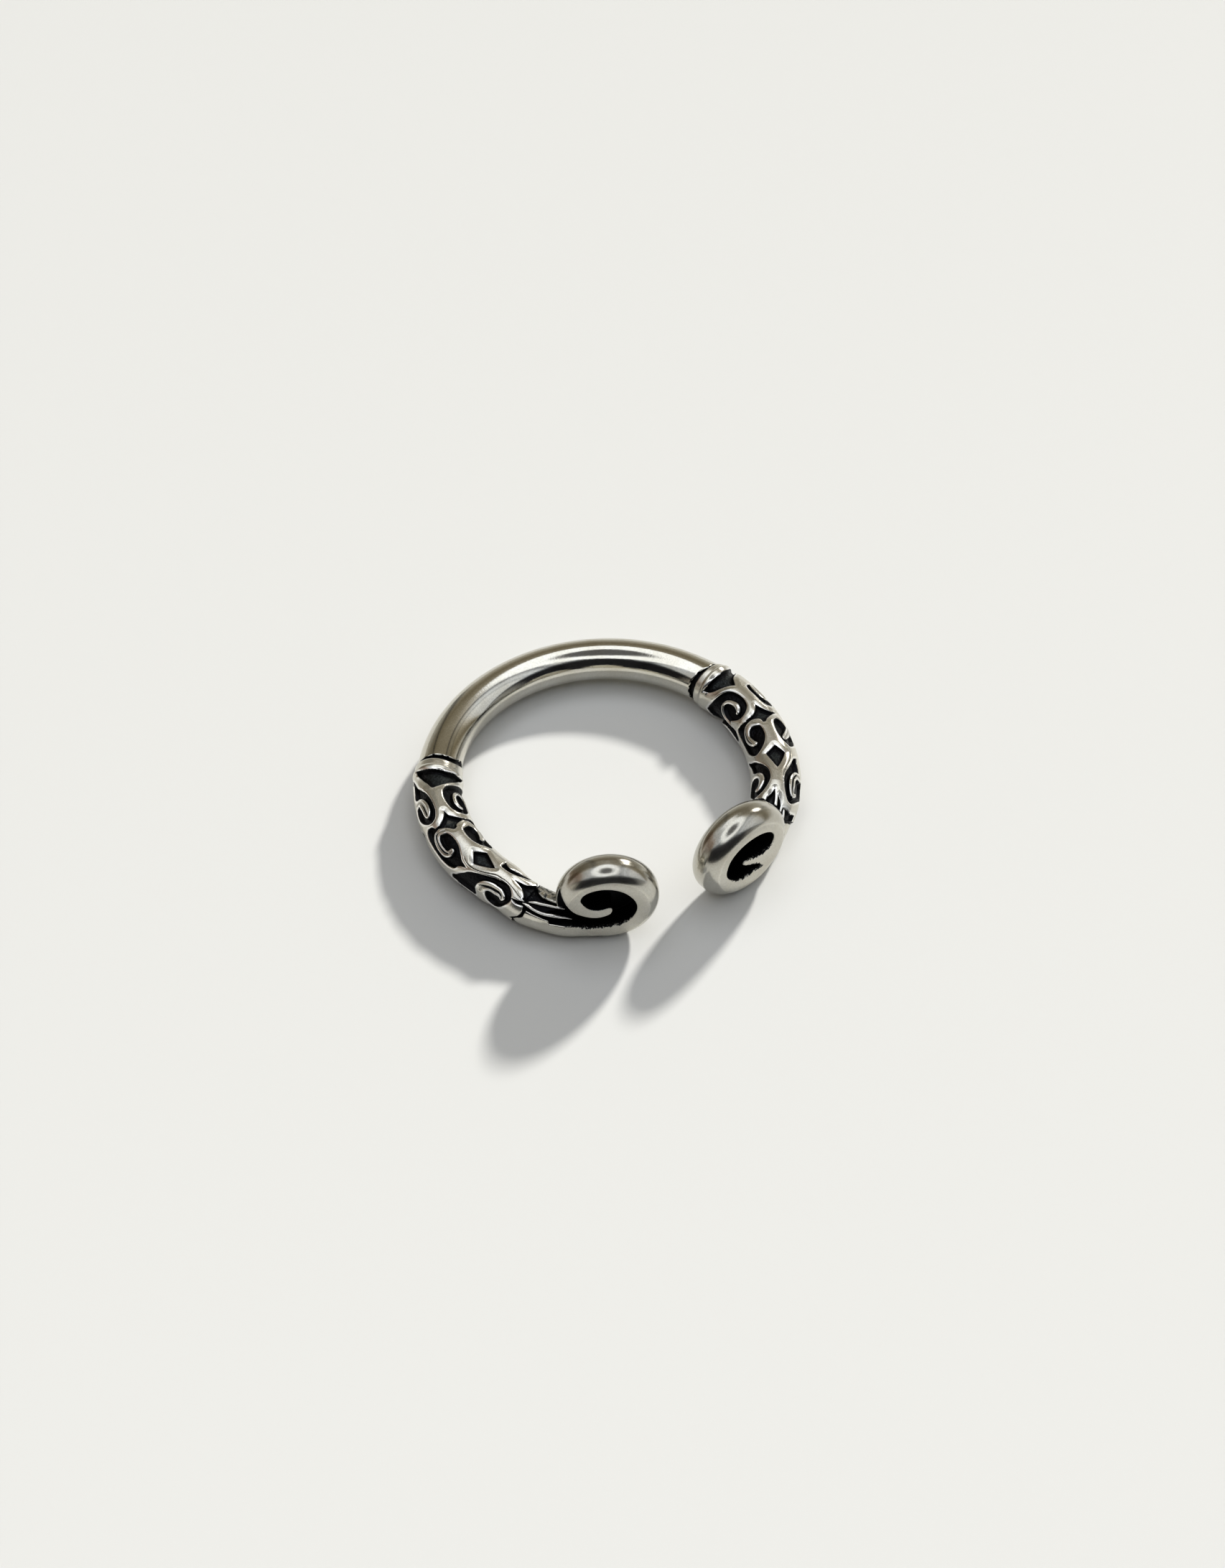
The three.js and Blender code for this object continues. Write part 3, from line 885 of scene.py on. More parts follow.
# The dark recess between the scroll's turns, seen on its face: across towards the gap, and up.
RECESS_OUTLINE = {
    -1: cornered(
        [(0.17, 0.0), (0.12, 0.2), (-0.1, 0.21), (-0.4, 0.1), (-0.75, 0.08), (-1.15, 0.25), (-1.45, 0.6)],
        [(-1.6, 1.0), (-1.45, 1.4), (-1.05, 1.7), (-0.5, 1.87), (0.05, 1.85), (0.55, 1.68),
         (1.0, 1.35), (1.4, 0.8), (1.57, 0.2), (1.47, -0.35), (1.2, -0.8), (0.75, -1.15), (0.2, -1.32),
         (-0.5, -1.4), (-1.2, -1.38), (-2.0, -1.3), (-2.7, -1.34), (-3.4, -1.34)],
        [(-3.4, 1.3)],
        [(-2.75, 1.15)],
        [(-2.5, 0.65), (-2.2, 0.25), (-1.8, -0.12), (-1.3, -0.4), (-0.8, -0.54),
         (-0.3, -0.47), (0.05, -0.27), (0.17, 0.0)],
    ),
    1: cornered(
        [(0.74, 0.12), (0.68, 0.27), (0.5, 0.27), (0.15, 0.14), (-0.3, -0.02), (-0.7, -0.1), (-1.1, 0.03),
         (-1.4, 0.3)],
        [(-1.5, 0.6), (-1.42, 1.0), (-1.12, 1.38), (-0.6, 1.67), (0.0, 1.79), (0.6, 1.75),
         (1.2, 1.5), (1.65, 1.05), (1.87, 0.4), (1.82, -0.1), (1.6, -0.5), (1.2, -0.88), (0.8, -1.1),
         (0.35, -1.2), (-0.1, -1.12), (-0.65, -1.13)],
        [(-0.45, -0.82), (-0.1, -0.55), (0.25, -0.33), (0.6, -0.08), (0.74, 0.12)],
    ),
}
# Where the right scroll's bar runs in behind the disc, the groove opens again.
BEHIND_OUTLINE = cornered(
    [(-3.9, -1.34), (-2.9, -1.3), (-2.45, -1.0), (-2.5, 0.3), (-2.9, 1.1)],
    [(-3.9, 1.3)],
    [(-3.9, -1.34)],
)
POCKET_DEPTH = 1.2
POCKET_RISE = 0.12  # of its floor towards the bar
POCKET_BLEND = 0.05
RIDGE_BLEND = 0.04
FLOW = (0.4, 0.06)  # how softly the bar flows into the disc, low down and above

END_START = {-1: 55.5, 1: 54.5}  # hidden inside the sleeve
# The bar's radius at angles along the ring.
END_PROFILE = [(24, 0.5), (26, 0.85), (29, 1.05), (34, 1.14), (39, 1.18), (44, 1.2), (50, 1.255),
               (52, 1.265), (55, 1.27)]

# The channel on top of that bar, in degrees round it at angles along the ring.
CHANNEL_LOW = [(34, 24), (42, 25), (46, 29), (49, 33), (52, 36)]
CHANNEL_HIGH = [(38, 84), (42, 84), (45.5, 88), (47, 95), (48, 108), (49.5, 120), (52, 128)]
CHANNEL_DEPTH = 0.3
# Two ridges that run along the channel: angle along, degrees round, radius, thickness.
RIDGES = (
    [(50.4, 50, 1.12, 0.05), (49, 49, 1.15, 0.075), (47, 44.5, 1.15, 0.08), (45, 42, 1.14, 0.085),
     (43, 42, 1.13, 0.09), (41, 44, 1.1, 0.1), (39, 44.5, 1.05, 0.08), (37, 45, 1.0, 0.06),
     (35, 42, 0.95, 0.03)],
    [(48.8, 60, 1.06, 0.05), (47, 65, 1.1, 0.08), (45, 67, 1.12, 0.08), (43, 69.5, 1.12, 0.075),
     (41, 71, 1.1, 0.075), (39, 73, 1.06, 0.07), (38, 74, 1.0, 0.04)],
)
KEEL = 0.12  # each ridge stands on a second one, this much lower
RIDGE_REACH = 0.3  # millimetres round a ridge in which its distance matters
CHANNEL_MM = math.radians(1.2)  # millimetres for a degree round that bar

# The raster on which the recess is worked out, across the face and up.
FACE_LOW, FACE_HIGH, FACE_STEP = (-5.0, -3.4), (3.4, 3.4), (0.02, 0.02)

# Where the bar meets the sleeve: the groove's middle and depth, and how much thinner the bar is
# inside the sleeve.
END_SEAM = 0.02
END_SEAM_DEPTH = 0.14
END_TENON_DEPTH = 0.3

# Looks of the scroll end, as shares of full black and full satin.
RIM_OXIDE = 0.17
RIDGE_SHINE = 0.97
SPECK_SHINE = 0.7
CHANNEL_DARK = (0.36, 0.3)  # how black it is, and how much that varies
RIM_SATIN, FACE_SATIN = 0.1, 1.0
RIDGE_SATIN = 0.35


class ScrollEnd:
    """One scroll end as a distance field, on the +X side; the other side mirrors the result."""

    def __init__(self, side):
        which = SCROLLS[side]
        f = math.radians(which["facing"])
        self.side = side
        self.stretch = which["stretch"]
        self.across = np.array([-math.cos(f), -math.sin(f), 0])
        self.outwards = np.array([math.sin(f), -math.cos(f), 0])
        self.centre = on_ring(which["angle"], SCROLL_CENTRE_RADIUS, SCROLL_RADIUS, 1)
        grid = grid_points(FACE_LOW, FACE_HIGH, FACE_STEP)
        query = grid.reshape(-1, 2)
        pocket = inside_distance(outline(*RECESS_OUTLINE[side]), query)
        if side > 0:
            behind = inside_distance(outline(*BEHIND_OUTLINE), query)
            pocket = np.maximum(pocket, behind)
        self.pocket = Raster(FACE_LOW, FACE_STEP, pocket.reshape(grid.shape[:2]))
        self.ridges = [self.along_bar(ridge, 0) for ridge in RIDGES]
        self.keels = [self.along_bar(ridge, KEEL) for ridge in RIDGES]

    def along_bar(self, ridge, lowered):
        """A ridge's points and half thicknesses, or those of the keel that carries it."""
        path = curve_through(ridge, 12)
        out, up = bar_centre(path[:, 0], self.side)
        p = np.radians(path[:, 1])
        reach = path[:, 2] - lowered
        centre = on_ring(path[:, 0], out + reach * np.cos(p), up + reach * np.sin(p), 1)
        return centre, path[:, 3]

    def face_place(self, p):
        """Places across the scroll's face, up it and out from its middle."""
        q = p - self.centre
        return q @ self.across / self.stretch, q[:, 2], q @ self.outwards

    def bar_place(self, p):
        """Angles along the ring and round the bar, and the distance from its centreline."""
        angle = np.degrees(np.arctan2(p[:, 0], -p[:, 1]))
        out, up = bar_centre(angle, self.side)
        u = np.hypot(p[:, 0], p[:, 1]) - out
        v = p[:, 2] - up
        return angle, np.degrees(np.arctan2(v, u)), np.hypot(u, v)

    def disc(self, p):
        """Distance to the disc."""
        x, y, w = self.face_place(p)
        radial = np.hypot(x, y) - (SCROLL_RADIUS - SCROLL_EDGE)
        deep = np.abs(w) - (SCROLL_HALF - SCROLL_EDGE)
        outside = np.hypot(np.maximum(radial, 0), np.maximum(deep, 0))
        return outside + np.minimum(np.maximum(radial, deep), 0) - SCROLL_EDGE

    def on_disc(self, p):
        """Which points of the surface are the disc's."""
        return self.disc(p) < 0.05

    def plain_bar(self, angle, away):
        """Distance to the bar before its channel is carved."""
        f = away - charted(curve_through(END_PROFILE), angle)
        f = np.maximum(f, (BAR_END - angle) * ALONG_MM)
        return np.maximum(f, (angle - END_START[self.side]) * ALONG_MM)

    def channel(self, angle, turn):
        """Distance into the channel on the bar, in millimetres round it."""
        low, high = charted(CHANNEL_LOW, angle), charted(CHANNEL_HIGH, angle)
        return np.minimum(turn - low, high - turn) * CHANNEL_MM

    def before_seam(self, angle, turn):
        """Distance from the terminal seam along the bar, positive on the scroll's side."""
        return (terminal_seam(turn, self.side) - angle) * ALONG_MM

    def ridge(self, p, paths):
        """Distance from the nearest ridge, or FAR."""
        best = np.full(len(p), FAR)
        for centre, thick in paths:
            low, high = centre.min(0) - RIDGE_REACH, centre.max(0) + RIDGE_REACH
            near = ((p > low) & (p < high)).all(1)
            q = p[near]
            found = best[near]
            for c, h in zip(centre, thick):
                found = np.minimum(found, np.sqrt(((q - c) ** 2).sum(1)) - h)
            best[near] = found
        return best

    def joined(self, p, bar):
        """The bar and the disc, which flow into each other along the bottom."""
        flow = lerp(*FLOW, smoothstep(0.5, 1.1, p[:, 2]))
        return smooth_min(bar, self.disc(p), flow)

    def outer(self, p):
        """The bar and the disc before anything is carved."""
        angle, _, away = self.bar_place(p)
        return self.joined(p, self.plain_bar(angle, away))

    def field(self, p):
        """Distance to the finished surface, negative inside it."""
        angle, turn, away = self.bar_place(p)
        seam = self.before_seam(angle, turn)
        carve = CHANNEL_DEPTH * smoothstep(0, 0.09, self.channel(angle, turn))
        groove = END_SEAM_DEPTH * (1 - smoothstep(0.03, 0.11, np.abs(seam - END_SEAM)))
        tenon = END_TENON_DEPTH * smoothstep(0.0, 0.12, -seam)
        bar = self.plain_bar(angle, away) + np.maximum(np.maximum(carve, groove), tenon)
        x, y, w = self.face_place(p)
        floor_at = SCROLL_HALF - POCKET_DEPTH + POCKET_RISE * smoothstep(-1.8, -3.0, x)
        pocket = np.minimum(self.pocket(x, y), w - floor_at)
        body = smooth_max(self.joined(p, bar), pocket, POCKET_BLEND)
        ridge = np.minimum(self.ridge(p, self.ridges), self.ridge(p, self.keels))
        return smooth_min(body, ridge, RIDGE_BLEND)

    def oxide(self, p):
        """How black each point is."""
        black = smoothstep(0.03, 0.09, -self.outer(p))
        x, y, w = self.face_place(p)
        grain = lattice_noise(p, 0.13, 21)
        fine = lattice_noise(p, 0.06, 22)
        # The black's lower edge is ragged on the face, and on the right so is the tip.
        low = smoothstep(-0.5, -0.9, y) * smoothstep(-3.2, -1.6, x)
        if self.side > 0:
            low = np.maximum(low, smoothstep(0.35, 0.1, y) * smoothstep(0.9, 0.4, x))
        edge = self.pocket(x, y) + 0.1 * grain + 0.09 * fine
        at_face = smoothstep(0.75, 0.85, w / SCROLL_HALF) * low
        black = lerp(black, smoothstep(-0.02, 0.02, edge + 0.03), at_face)
        angle, turn, _ = self.bar_place(p)
        off_seam = np.abs(self.before_seam(angle, turn) - END_SEAM)
        black = np.maximum(black, 1 - smoothstep(0.09, 0.15, off_seam - 0.03 * grain))
        # Bare specks where the channel begins.
        begins = smoothstep(41, 45, angle) * smoothstep(66, 74, turn) * smoothstep(104, 96, turn)
        specks = begins * smoothstep(0.35, 0.6, grain + 0.5 * fine)
        shine = self.wear_and_highlight(p, 0.015 * fine)
        black = black * (1 - RIDGE_SHINE * shine) * (1 - SPECK_SHINE * specks)
        if self.side < 0:
            # Darker and mottled on the channel's inner side.
            channel_dark = smoothstep(39, 42, angle) * smoothstep(80, 92, turn) * smoothstep(150, 130, turn)
            black = np.maximum(black, (CHANNEL_DARK[0] + CHANNEL_DARK[1] * grain) * channel_dark)
        # The rounded rim is faintly tarnished.
        rim = self.on_disc(p) * smoothstep(0.93, 0.85, np.abs(w) / SCROLL_HALF)
        return np.maximum(black, RIM_OXIDE * rim)

    def wear_and_highlight(self, p, ragged=0.0):
        """The ridges are bright: polished by wear and a painted highlight."""
        return 1 - smoothstep(0.01, 0.05, self.ridge(p, self.ridges) + ragged)

    def satin(self, p):
        """The flat faces are less polished than the round edges."""
        deep = np.abs(self.face_place(p)[2]) / SCROLL_HALF
        face = smoothstep(0.86, 0.94, deep) * self.on_disc(p)
        return np.maximum(lerp(RIM_SATIN, FACE_SATIN, face), RIDGE_SATIN * self.wear_and_highlight(p))


ENDS = (slice(None, -1), slice(1, None))  # pick the first and the second end of the grid's edges
SQUARE = ((0, 0), (1, 0), (1, 1), (0, 1))  # its corners in turn, as ends along its two axes
NUDGE = 1e-4  # a distance just past the surface


def corner_values(values, at):
    """The values at one corner of each edge or square of the grid; `at` is 0 or 1 by axis."""
    part = [slice(None)] * 3
    for axis, end in at.items():
        part[axis] = ENDS[end]
    return values[tuple(part)]


def fill_pinches(values):
    """Fill the grid squares whose two inside corners are diagonal, where the surface would pinch."""
    pinched = True
    while pinched:
        pinched = False
        for i, j in ((0, 1), (0, 2), (1, 2)):
            a, b, c, d = (corner_values(values, {i: s, j: t}) for s, t in SQUARE)
            for one, empty, two, other in ((a, b, c, d), (b, a, d, c)):
                bad = (one < 0) & (two < 0) & (empty >= 0) & (other >= 0)
                empty[bad] = -NUDGE
                pinched = pinched or bad.any()


def empty_specks(values):
    """Empty each inside point of the grid that has no inside point next to it."""
    inside = np.pad(values < 0, 1)
    company = np.zeros_like(inside)
    for axis in range(3):
        company |= np.roll(inside, 1, axis) | np.roll(inside, -1, axis)
    values[(inside & ~company)[1:-1, 1:-1, 1:-1]] = NUDGE


def sampled(field, axes):
    """The field's values on a grid, worked out one slice at a time."""
    values = np.empty([len(a) for a in axes])
    y, z = (m.ravel() for m in np.meshgrid(axes[1], axes[2], indexing="ij"))
    for i, x in enumerate(axes[0]):
        p = np.stack([np.full(y.size, x), y, z], -1)
        values[i] = field(p).reshape(values.shape[1:])
    return values


def net_through(values):
    """A point in each grid cell that the surface crosses, in steps of the grid, and quads that
    join the four cells round each crossed edge."""
    inside = values < 0
    cells = tuple(n - 1 for n in values.shape)
    total = np.zeros(cells + (3,))
    count = np.zeros(cells, int)
    edges = []
    for axis in range(3):
        a, b = (corner_values(values, {axis: end}) for end in (0, 1))
        first_inside = corner_values(inside, {axis: 0})
        crossing = first_inside != corner_values(inside, {axis: 1})
        index = np.argwhere(crossing)
        where = index.astype(float)
        where[:, axis] += a[crossing] / (a[crossing] - b[crossing])
        others = [k for k in range(3) if k != axis]
        corners = []
        for square in SQUARE:
            cell = index.copy()
            cell[:, others] -= square
            corners.append(tuple(cell.T))
            np.add.at(total, corners[-1], where)
            np.add.at(count, corners[-1], 1)
        edges.append((corners, first_inside[crossing], axis))
    number = np.full(cells, -1)
    used = count > 0
    number[used] = np.arange(used.sum())
    quads = []
    for corners, first_inside, axis in edges:
        q = np.stack([number[cell] for cell in corners], -1)
        turned = first_inside if axis != 1 else ~first_inside  # that square runs the other way
        quads.append(np.where(turned[:, None], q, q[:, ::-1]))
    return total[used] / count[used][:, None], np.vstack(quads)


def slope_of(field, points):
    """The field's slope along each axis."""
    reach = 0.004
    slope = np.empty_like(points)
    for axis in range(3):
        shift = np.zeros(3)
        shift[axis] = reach
        slope[:, axis] = (field(points + shift) - field(points - shift)) / (2 * reach)
    return slope


def moved_onto(field, points, step):
    """The points after three short moves onto the field's zero surface."""
    for _ in range(3):
        slope = slope_of(field, points)
        move = -field(points)[:, None] * slope / np.maximum((slope**2).sum(1), 0.2)[:, None]
        length = np.linalg.norm(move, axis=1, keepdims=True)
        points = points + move * np.minimum(1, 0.4 * step / np.maximum(length, 1e-9))
    return points


def surface_net(field, low, high, step):
    """A mesh of quads on the field's zero surface."""
    axes = [np.arange(a, b + step, step) for a, b in zip(low, high)]
    values = sampled(field, axes)
    empty_specks(values)
    fill_pinches(values)
    places, quads = net_through(values)
    return moved_onto(field, places * step + np.array(low), step), quads


END_LOW, END_HIGH = (1.0, -11.9, -0.15), (9.75, -4.5, 5.95)  # a box round a scroll end
END_STEP = 0.046


def scroll_end(side, material):
    """One scroll end, with the channelled bar that comes out of the sleeve."""
    end = ScrollEnd(side)
    points, quads = surface_net(end.field, END_LOW, END_HIGH, END_STEP)
    values = {
        "oxide": end.oxide(points),
        "satin": end.satin(points),
        "wear_and_highlight": end.wear_and_highlight(points),
    }
    points = points * np.array([side, 1, 1])
    if not faces_outwards(points, quads):
        quads = quads[:, ::-1]
    name = "scroll_end_left" if side < 0 else "scroll_end_right"
    add_piece(name, points, quads.tolist(), values, material)


# ---------- material


class Nodes:
    """Shader nodes of one tree. A node's input is a plain value or another node's output."""

    def __init__(self, tree):
        self.tree = tree

    def put(self, value, socket):
        if isinstance(value, bpy.types.NodeSocket):
            self.tree.links.new(value, socket)
        else:
            socket.default_value = value

    def make(self, kind, inputs, output=0, **settings):
        """The output of a new node, whose inputs are given by name or number."""
        node = self.tree.nodes.new("ShaderNode" + kind)
        for key, value in settings.items():
            setattr(node, key, value)
        for key, value in inputs.items():
            self.put(value, node.inputs[key])
        return node.outputs[output]

    def maths(self, operation, *values):
        return self.make("Math", dict(enumerate(values)), operation=operation)

    def vectors(self, operation, a, b, output="Vector"):
        return self.make("VectorMath", {0: a, 1: b}, output, operation=operation)

    def scaled(self, color, by):
        return self.make("VectorMath", {0: color, "Scale": by}, operation="SCALE")

    def mixed(self, share, a, b):
        """From one colour to another."""
        return self.make("Mix", {0: share, 6: a, 7: b}, 2, data_type="RGBA")

    def spread(self, value, low, high, to_low, to_high):
        """A value from low to high, spread from to_low to to_high."""
        ends = {"From Min": low, "From Max": high, "To Min": to_low, "To Max": to_high}
        return self.make("MapRange", {"Value": value, **ends}, "Result")

    def ramp(self, value, stops):
        """The colour at a value between stops, which are places and colours."""
        node = self.tree.nodes.new("ShaderNodeValToRGB")
        elements = node.color_ramp.elements
        while len(elements) < len(stops):
            elements.new(0.5)
        for element, (position, color) in zip(elements, stops):
            element.position = position
            element.color = (*color, 1)
        self.put(value, node.inputs["Fac"])
        return node.outputs["Color"]


# Colours of the silver.
CLEAN = (0.7, 0.68, 0.61, 1)
CLOUDED = (0.62, 0.59, 0.505, 1)
# Edges and ridges: partly wear, partly a painted highlight.
WORN_AND_HIGHLIT = (0.93, 0.915, 0.87, 1)
OXIDE = [(0.5, (0.03, 0.034, 0.034)), (0.9, (0.006, 0.006, 0.007))]  # thin and thick
# And its roughness.
POLISHED = 0.06
SATIN = 0.48
OXIDISED = 0.45


def silver_material():
    """Silver, black where `oxide` is high, duller with `satin`, and brighter with wear and a painted
    highlight.
    """
    material = bpy.data.materials.new("silver")
    material.use_nodes = True
    shader = material.node_tree.nodes["Principled BSDF"].inputs
    nodes = Nodes(material.node_tree)
    place = nodes.make("TexCoord", {}, "Object")
    oxide, satin, wear_and_highlight = (
        nodes.make("Attribute", {}, "Fac", attribute_name=name)
        for name in ("oxide", "satin", "wear_and_highlight")
    )

    def noise(size_mm, detail):
        scale = 1 / (size_mm * MM)
        inputs = {"Vector": place, "Scale": scale, "Detail": detail, "Roughness": 0.6}
        return nodes.make("TexNoise", inputs, "Fac")

    cloud = noise(1.6, 4.0)
    grain = noise(0.09, 3.0)
    clouded = nodes.mixed(nodes.spread(cloud, 0.35, 0.7, 0.0, 1.0), CLEAN, CLOUDED)
    # Edges and ridges brightened: wear and a painted highlight.
    edged = nodes.mixed(wear_and_highlight, clouded, WORN_AND_HIGHLIT)
    metal = nodes.scaled(edged, nodes.spread(grain, 0.3, 0.7, 0.9, 1.07))
    black = nodes.ramp(oxide, OXIDE)
    dark = nodes.scaled(black, nodes.spread(grain, 0.4, 0.75, 0.6, 1.9))
    share = nodes.spread(oxide, 0.08, 0.5, 0.0, 1.0)
    polished = nodes.spread(satin, 0.0, 1.0, POLISHED, SATIN)
    relief = {"Strength": 0.25, "Distance": 0.01 * MM, "Height": grain}
    nodes.put(nodes.mixed(share, metal, dark), shader["Base Color"])
    nodes.put(nodes.spread(satin, 0.0, 1.0, 1.0, 0.75), shader["Metallic"])
    nodes.put(nodes.make("Mix", {0: share, 2: polished, 3: OXIDISED}), shader["Roughness"])
    nodes.put(nodes.make("Bump", relief, "Normal"), shader["Normal"])
    return material


# ---------- stage, light, camera

VIEW_AZIMUTH = -24.5
VIEW_ELEVATION = 48.4
VIEW_ROLL = -0.45
VIEW_TARGET = (0.197, -0.364, 1.5)
VIEW_DISTANCE = 200.0
LENS_MM = 77.64
SENSOR_MM = 36


def make_camera():
    """The camera, above the gap and a little to its left, looking down at the ring."""
    a, e, r = (math.radians(x) for x in (VIEW_AZIMUTH, VIEW_ELEVATION, VIEW_ROLL))
    back = Vector((math.sin(a) * math.cos(e), -math.cos(a) * math.cos(e), math.sin(e)))
    level = Vector((math.cos(a), math.sin(a), 0))
    steep = back.cross(level)
    right = math.cos(r) * level + math.sin(r) * steep
    up = math.cos(r) * steep - math.sin(r) * level
    data = bpy.data.cameras.new("camera")
    data.lens = LENS_MM
    data.sensor_width = SENSOR_MM
    data.clip_start, data.clip_end = 0.01, 5
    camera = link("camera", data)
    place = (Vector(VIEW_TARGET) + VIEW_DISTANCE * back) * MM
    turned = Matrix((right, up, back)).transposed().to_4x4()
    camera.matrix_world = Matrix.Translation(place) @ turned
    bpy.context.scene.camera = camera


FLOOR_HALF = 0.7  # metres
FLOOR_COLOR = (0.68, 0.678, 0.655, 1)
FLOOR_ROUGHNESS = 0.45


def make_floor():
    h = FLOOR_HALF
    mesh = bpy.data.meshes.new("floor")
    mesh.from_pydata([(-h, -h, 0), (h, -h, 0), (h, h, 0), (-h, h, 0)], [], [(0, 1, 2, 3)])
    material = bpy.data.materials.new("floor")
    material.use_nodes = True
    shader = material.node_tree.nodes["Principled BSDF"]
    shader.inputs["Base Color"].default_value = FLOOR_COLOR
    shader.inputs["Roughness"].default_value = FLOOR_ROUGHNESS
    mesh.materials.append(material)
    link("floor", mesh)


LAMP_TOWARDS = (0.72734, 0.50559, 0.462)  # to the right, back and up
LAMP_COLOR = (1.0, 0.985, 0.95)


def make_sun(name, energy, angle):
    """A soft-edged lamp from the right and behind, low; its angle is how wide it looks."""
    data = bpy.data.lights.new(name, "SUN")
    data.energy = energy
    data.angle = math.radians(angle)
    data.color = LAMP_COLOR
    lamp = link(name, data)
    lamp.rotation_mode = "QUATERNION"
    lamp.rotation_quaternion = Vector(LAMP_TOWARDS).to_track_quat("Z", "Y")
    return lamp


# The room's colours from the horizon in front, over the top (0.5), to the horizon behind (1).
ROOM_OVER = [
    (0.0, (0.014, 0.014, 0.016)),
    (0.23, (0.012, 0.012, 0.014)),
    (0.258, (0.05, 0.053, 0.06)),
    (0.283, (0.2, 0.215, 0.235)),
    (0.308, (0.74, 0.77, 0.81)),
    (0.61, (0.75, 0.77, 0.79)),
    (0.66, (0.52, 0.49, 0.43)),
    (0.7, (0.28, 0.25, 0.19)),
    (0.8, (0.17, 0.145, 0.095)),
    (0.86, (0.24, 0.21, 0.155)),
    (0.93, (0.4, 0.38, 0.32)),
    (1.0, (0.58, 0.56, 0.5)),
]
# Streaks that multiply them from the left (0) to the right (1), brown at the far left.
ROOM_STREAKS = [
    (0.0, (0.75, 0.66, 0.58)),
    (0.05, (0.3, 0.22, 0.17)),
    (0.1, (0.45, 0.33, 0.25)),
    (0.14, (0.75, 0.73, 0.7)),
    (0.27, (0.8, 0.82, 0.85)),
    (0.3, (0.25, 0.26, 0.28)),
    (0.34, (1.0, 1.0, 1.0)),
    (0.7, (1.0, 1.0, 1.0)),
    (0.735, (0.25, 0.25, 0.27)),
    (0.765, (0.9, 0.92, 0.95)),
    (0.81, (1.15, 1.17, 1.2)),
    (0.84, (0.75, 0.77, 0.8)),
    (0.87, (1.2, 1.2, 1.2)),
    (1.0, (0.9, 0.9, 0.9)),
]
WHITE, NOTHING = (1, 1, 1), (0, 0, 0)
LAMP_RING = (1.5, 1.55, 1.62, 1)
LAMP_RING_MIDDLE = (0.13, 0.13, 0.135, 1)


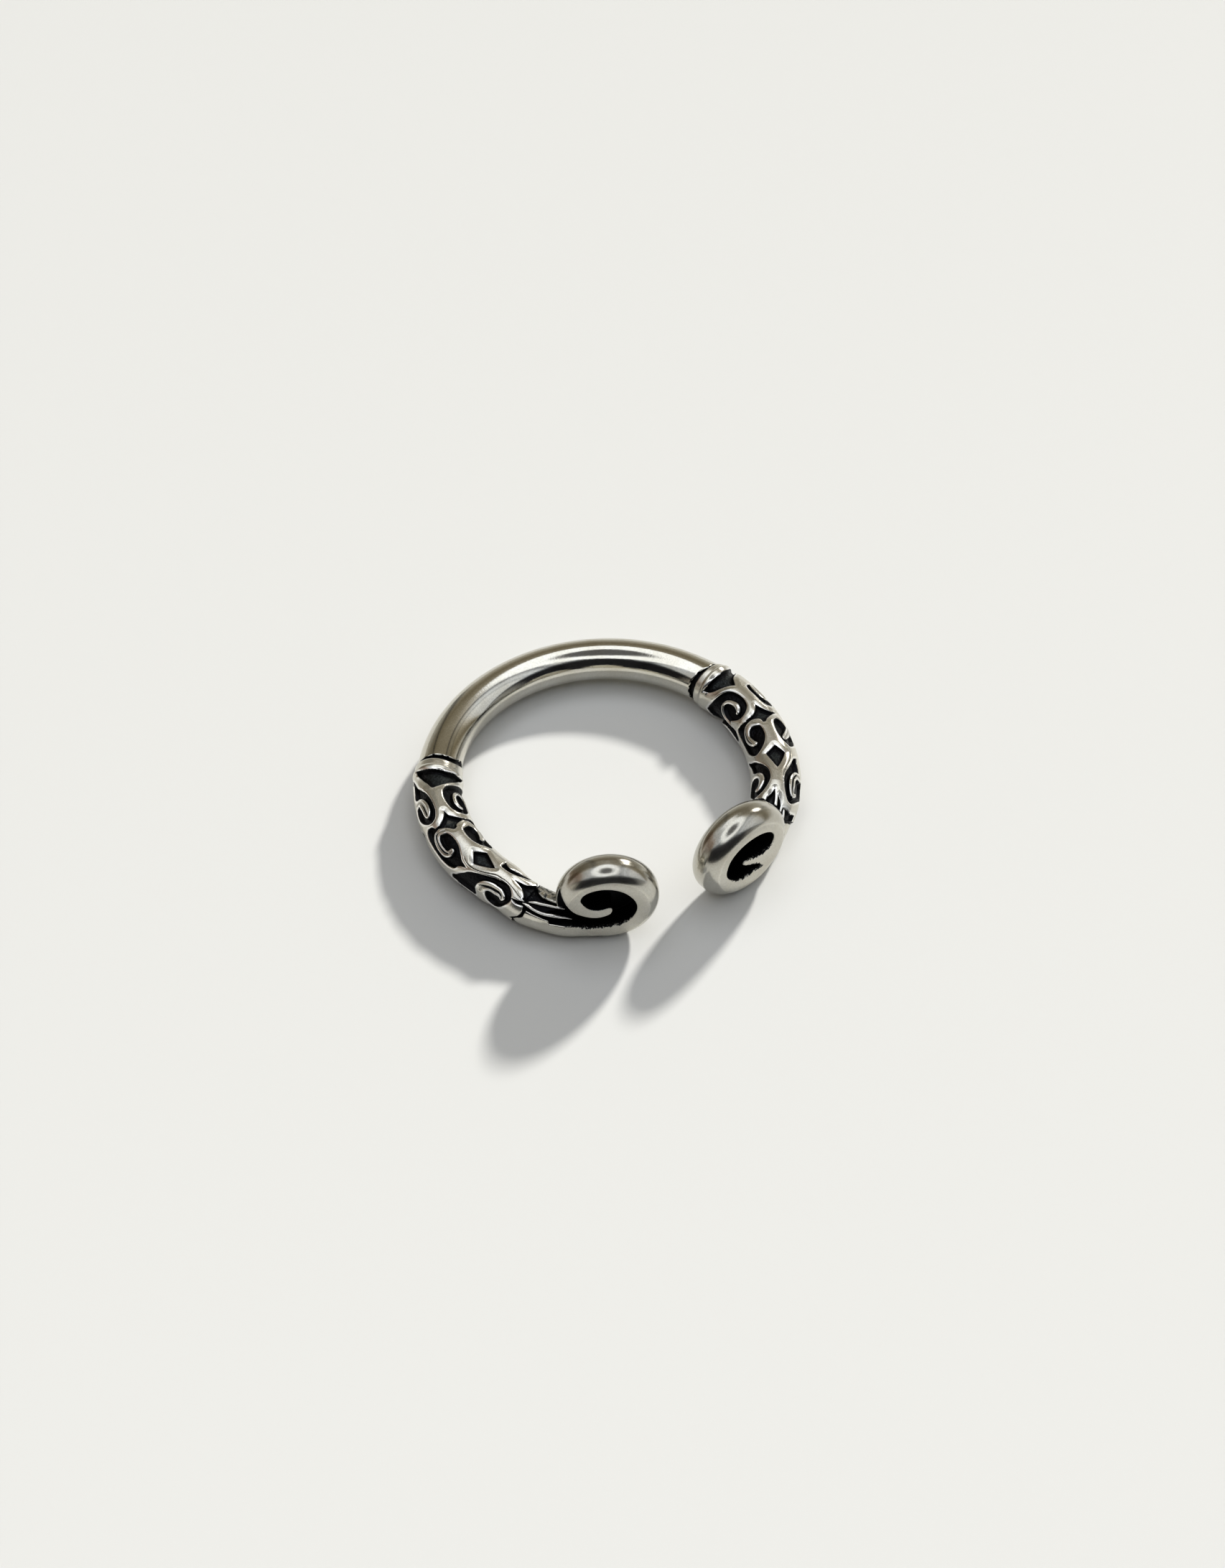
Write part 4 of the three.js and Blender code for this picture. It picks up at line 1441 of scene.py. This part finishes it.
def make_world():
    """A soft room: dark low in front, pale overhead with a brighter lamp ring, warm behind."""
    world = bpy.data.worlds.new("studio")
    bpy.context.scene.world = world
    world.use_nodes = True
    nodes = Nodes(world.node_tree)
    place = nodes.make("TexCoord", {}, "Generated")

    def along(direction):
        return nodes.vectors("DOT_PRODUCT", place, direction, "Value")

    a = math.radians(VIEW_AZIMUTH)
    front = along((math.sin(a), -math.cos(a), 0))
    aside = along((math.cos(a), math.sin(a), 0))
    turn = nodes.maths("DIVIDE", nodes.maths("ARCTAN2", along((0, 0, 1)), front), math.pi)
    over = nodes.ramp(turn, ROOM_OVER)
    streaks = nodes.ramp(nodes.maths("MULTIPLY_ADD", aside, 0.5, 0.5), ROOM_STREAKS)
    # Pale sides low in front.
    low = nodes.ramp(turn, [(0.2, WHITE), (0.29, NOTHING)])
    right = nodes.ramp(aside, [(0.78, NOTHING), (0.95, (0.3, 0.3, 0.29))])
    to_left = nodes.maths("MULTIPLY", aside, -1.0)
    left = nodes.ramp(to_left, [(0.75, NOTHING), (0.92, (0.5, 0.47, 0.41))])
    sides = nodes.vectors("MULTIPLY", low, nodes.vectors("ADD", left, right))
    room = nodes.vectors("ADD", nodes.vectors("MULTIPLY", over, streaks), sides)

    def ellipse(turn_at, turn_half, aside_at, aside_half, inner_edge):
        """White inside an ellipse overhead, fading out from the inner edge."""
        u = nodes.maths("DIVIDE", nodes.maths("SUBTRACT", turn, turn_at), turn_half)
        v = nodes.maths("DIVIDE", nodes.maths("SUBTRACT", aside, aside_at), aside_half)
        squares = (nodes.maths("MULTIPLY", x, x) for x in (u, v))
        return nodes.ramp(nodes.maths("ADD", *squares), [(inner_edge, WHITE), (1.0, NOTHING)])

    # The lamp ring and its dark middle.
    lit = nodes.mixed(ellipse(0.48, 0.22, -0.03, 0.5, 0.85), room, LAMP_RING)
    total = nodes.mixed(ellipse(0.46, 0.115, 0.0, 0.28, 0.6), lit, LAMP_RING_MIDDLE)
    nodes.put(total, world.node_tree.nodes["Background"].inputs["Color"])


DOME_RADIUS = 0.75  # metres
DOME_BELOW = 0.02
DOME_ROWS, DOME_COLUMNS = 16, 48
DOME_COLOR = (0.8, 0.8, 0.79, 1)


def make_backdrop():
    """A pale dome that only the camera sees, behind everything."""
    up = np.linspace(0, math.pi / 2, DOME_ROWS + 1)[:, None]
    around = np.arange(DOME_COLUMNS) * 2 * math.pi / DOME_COLUMNS
    unit = [np.cos(up) * np.cos(around), np.cos(up) * np.sin(around), np.sin(up) + 0 * around]
    points = DOME_RADIUS * np.stack(unit, -1).reshape(-1, 3) - (0, 0, DOME_BELOW)
    mesh = bpy.data.meshes.new("backdrop")
    mesh.from_pydata(points, [], tube_quads(DOME_ROWS + 1, DOME_COLUMNS).tolist())
    material = bpy.data.materials.new("backdrop")
    material.use_nodes = True
    tree = material.node_tree
    tree.nodes.remove(tree.nodes["Principled BSDF"])
    glow = Nodes(tree).make("Emission", {"Color": DOME_COLOR})
    tree.links.new(glow, tree.nodes["Material Output"].inputs["Surface"])
    mesh.materials.append(material)
    dome = link("backdrop", mesh)
    dome.visible_diffuse = False
    dome.visible_glossy = False
    dome.visible_transmission = False
    dome.visible_shadow = False


scene = bpy.context.scene
scene.view_settings.view_transform = "Standard"
make_camera()
make_floor()
# The key lamp isn't reflected, and the weaker one is seen only in reflections.
make_sun("key", 4.95, 5).visible_glossy = False
make_sun("glint", 0.32, 13).visible_diffuse = False
make_world()
make_backdrop()

silver = silver_material()
shank(silver)
for side in (-1, 1):
    sleeve(side, silver)
    scroll_end(side, silver)

bpy.context.view_layer.update()
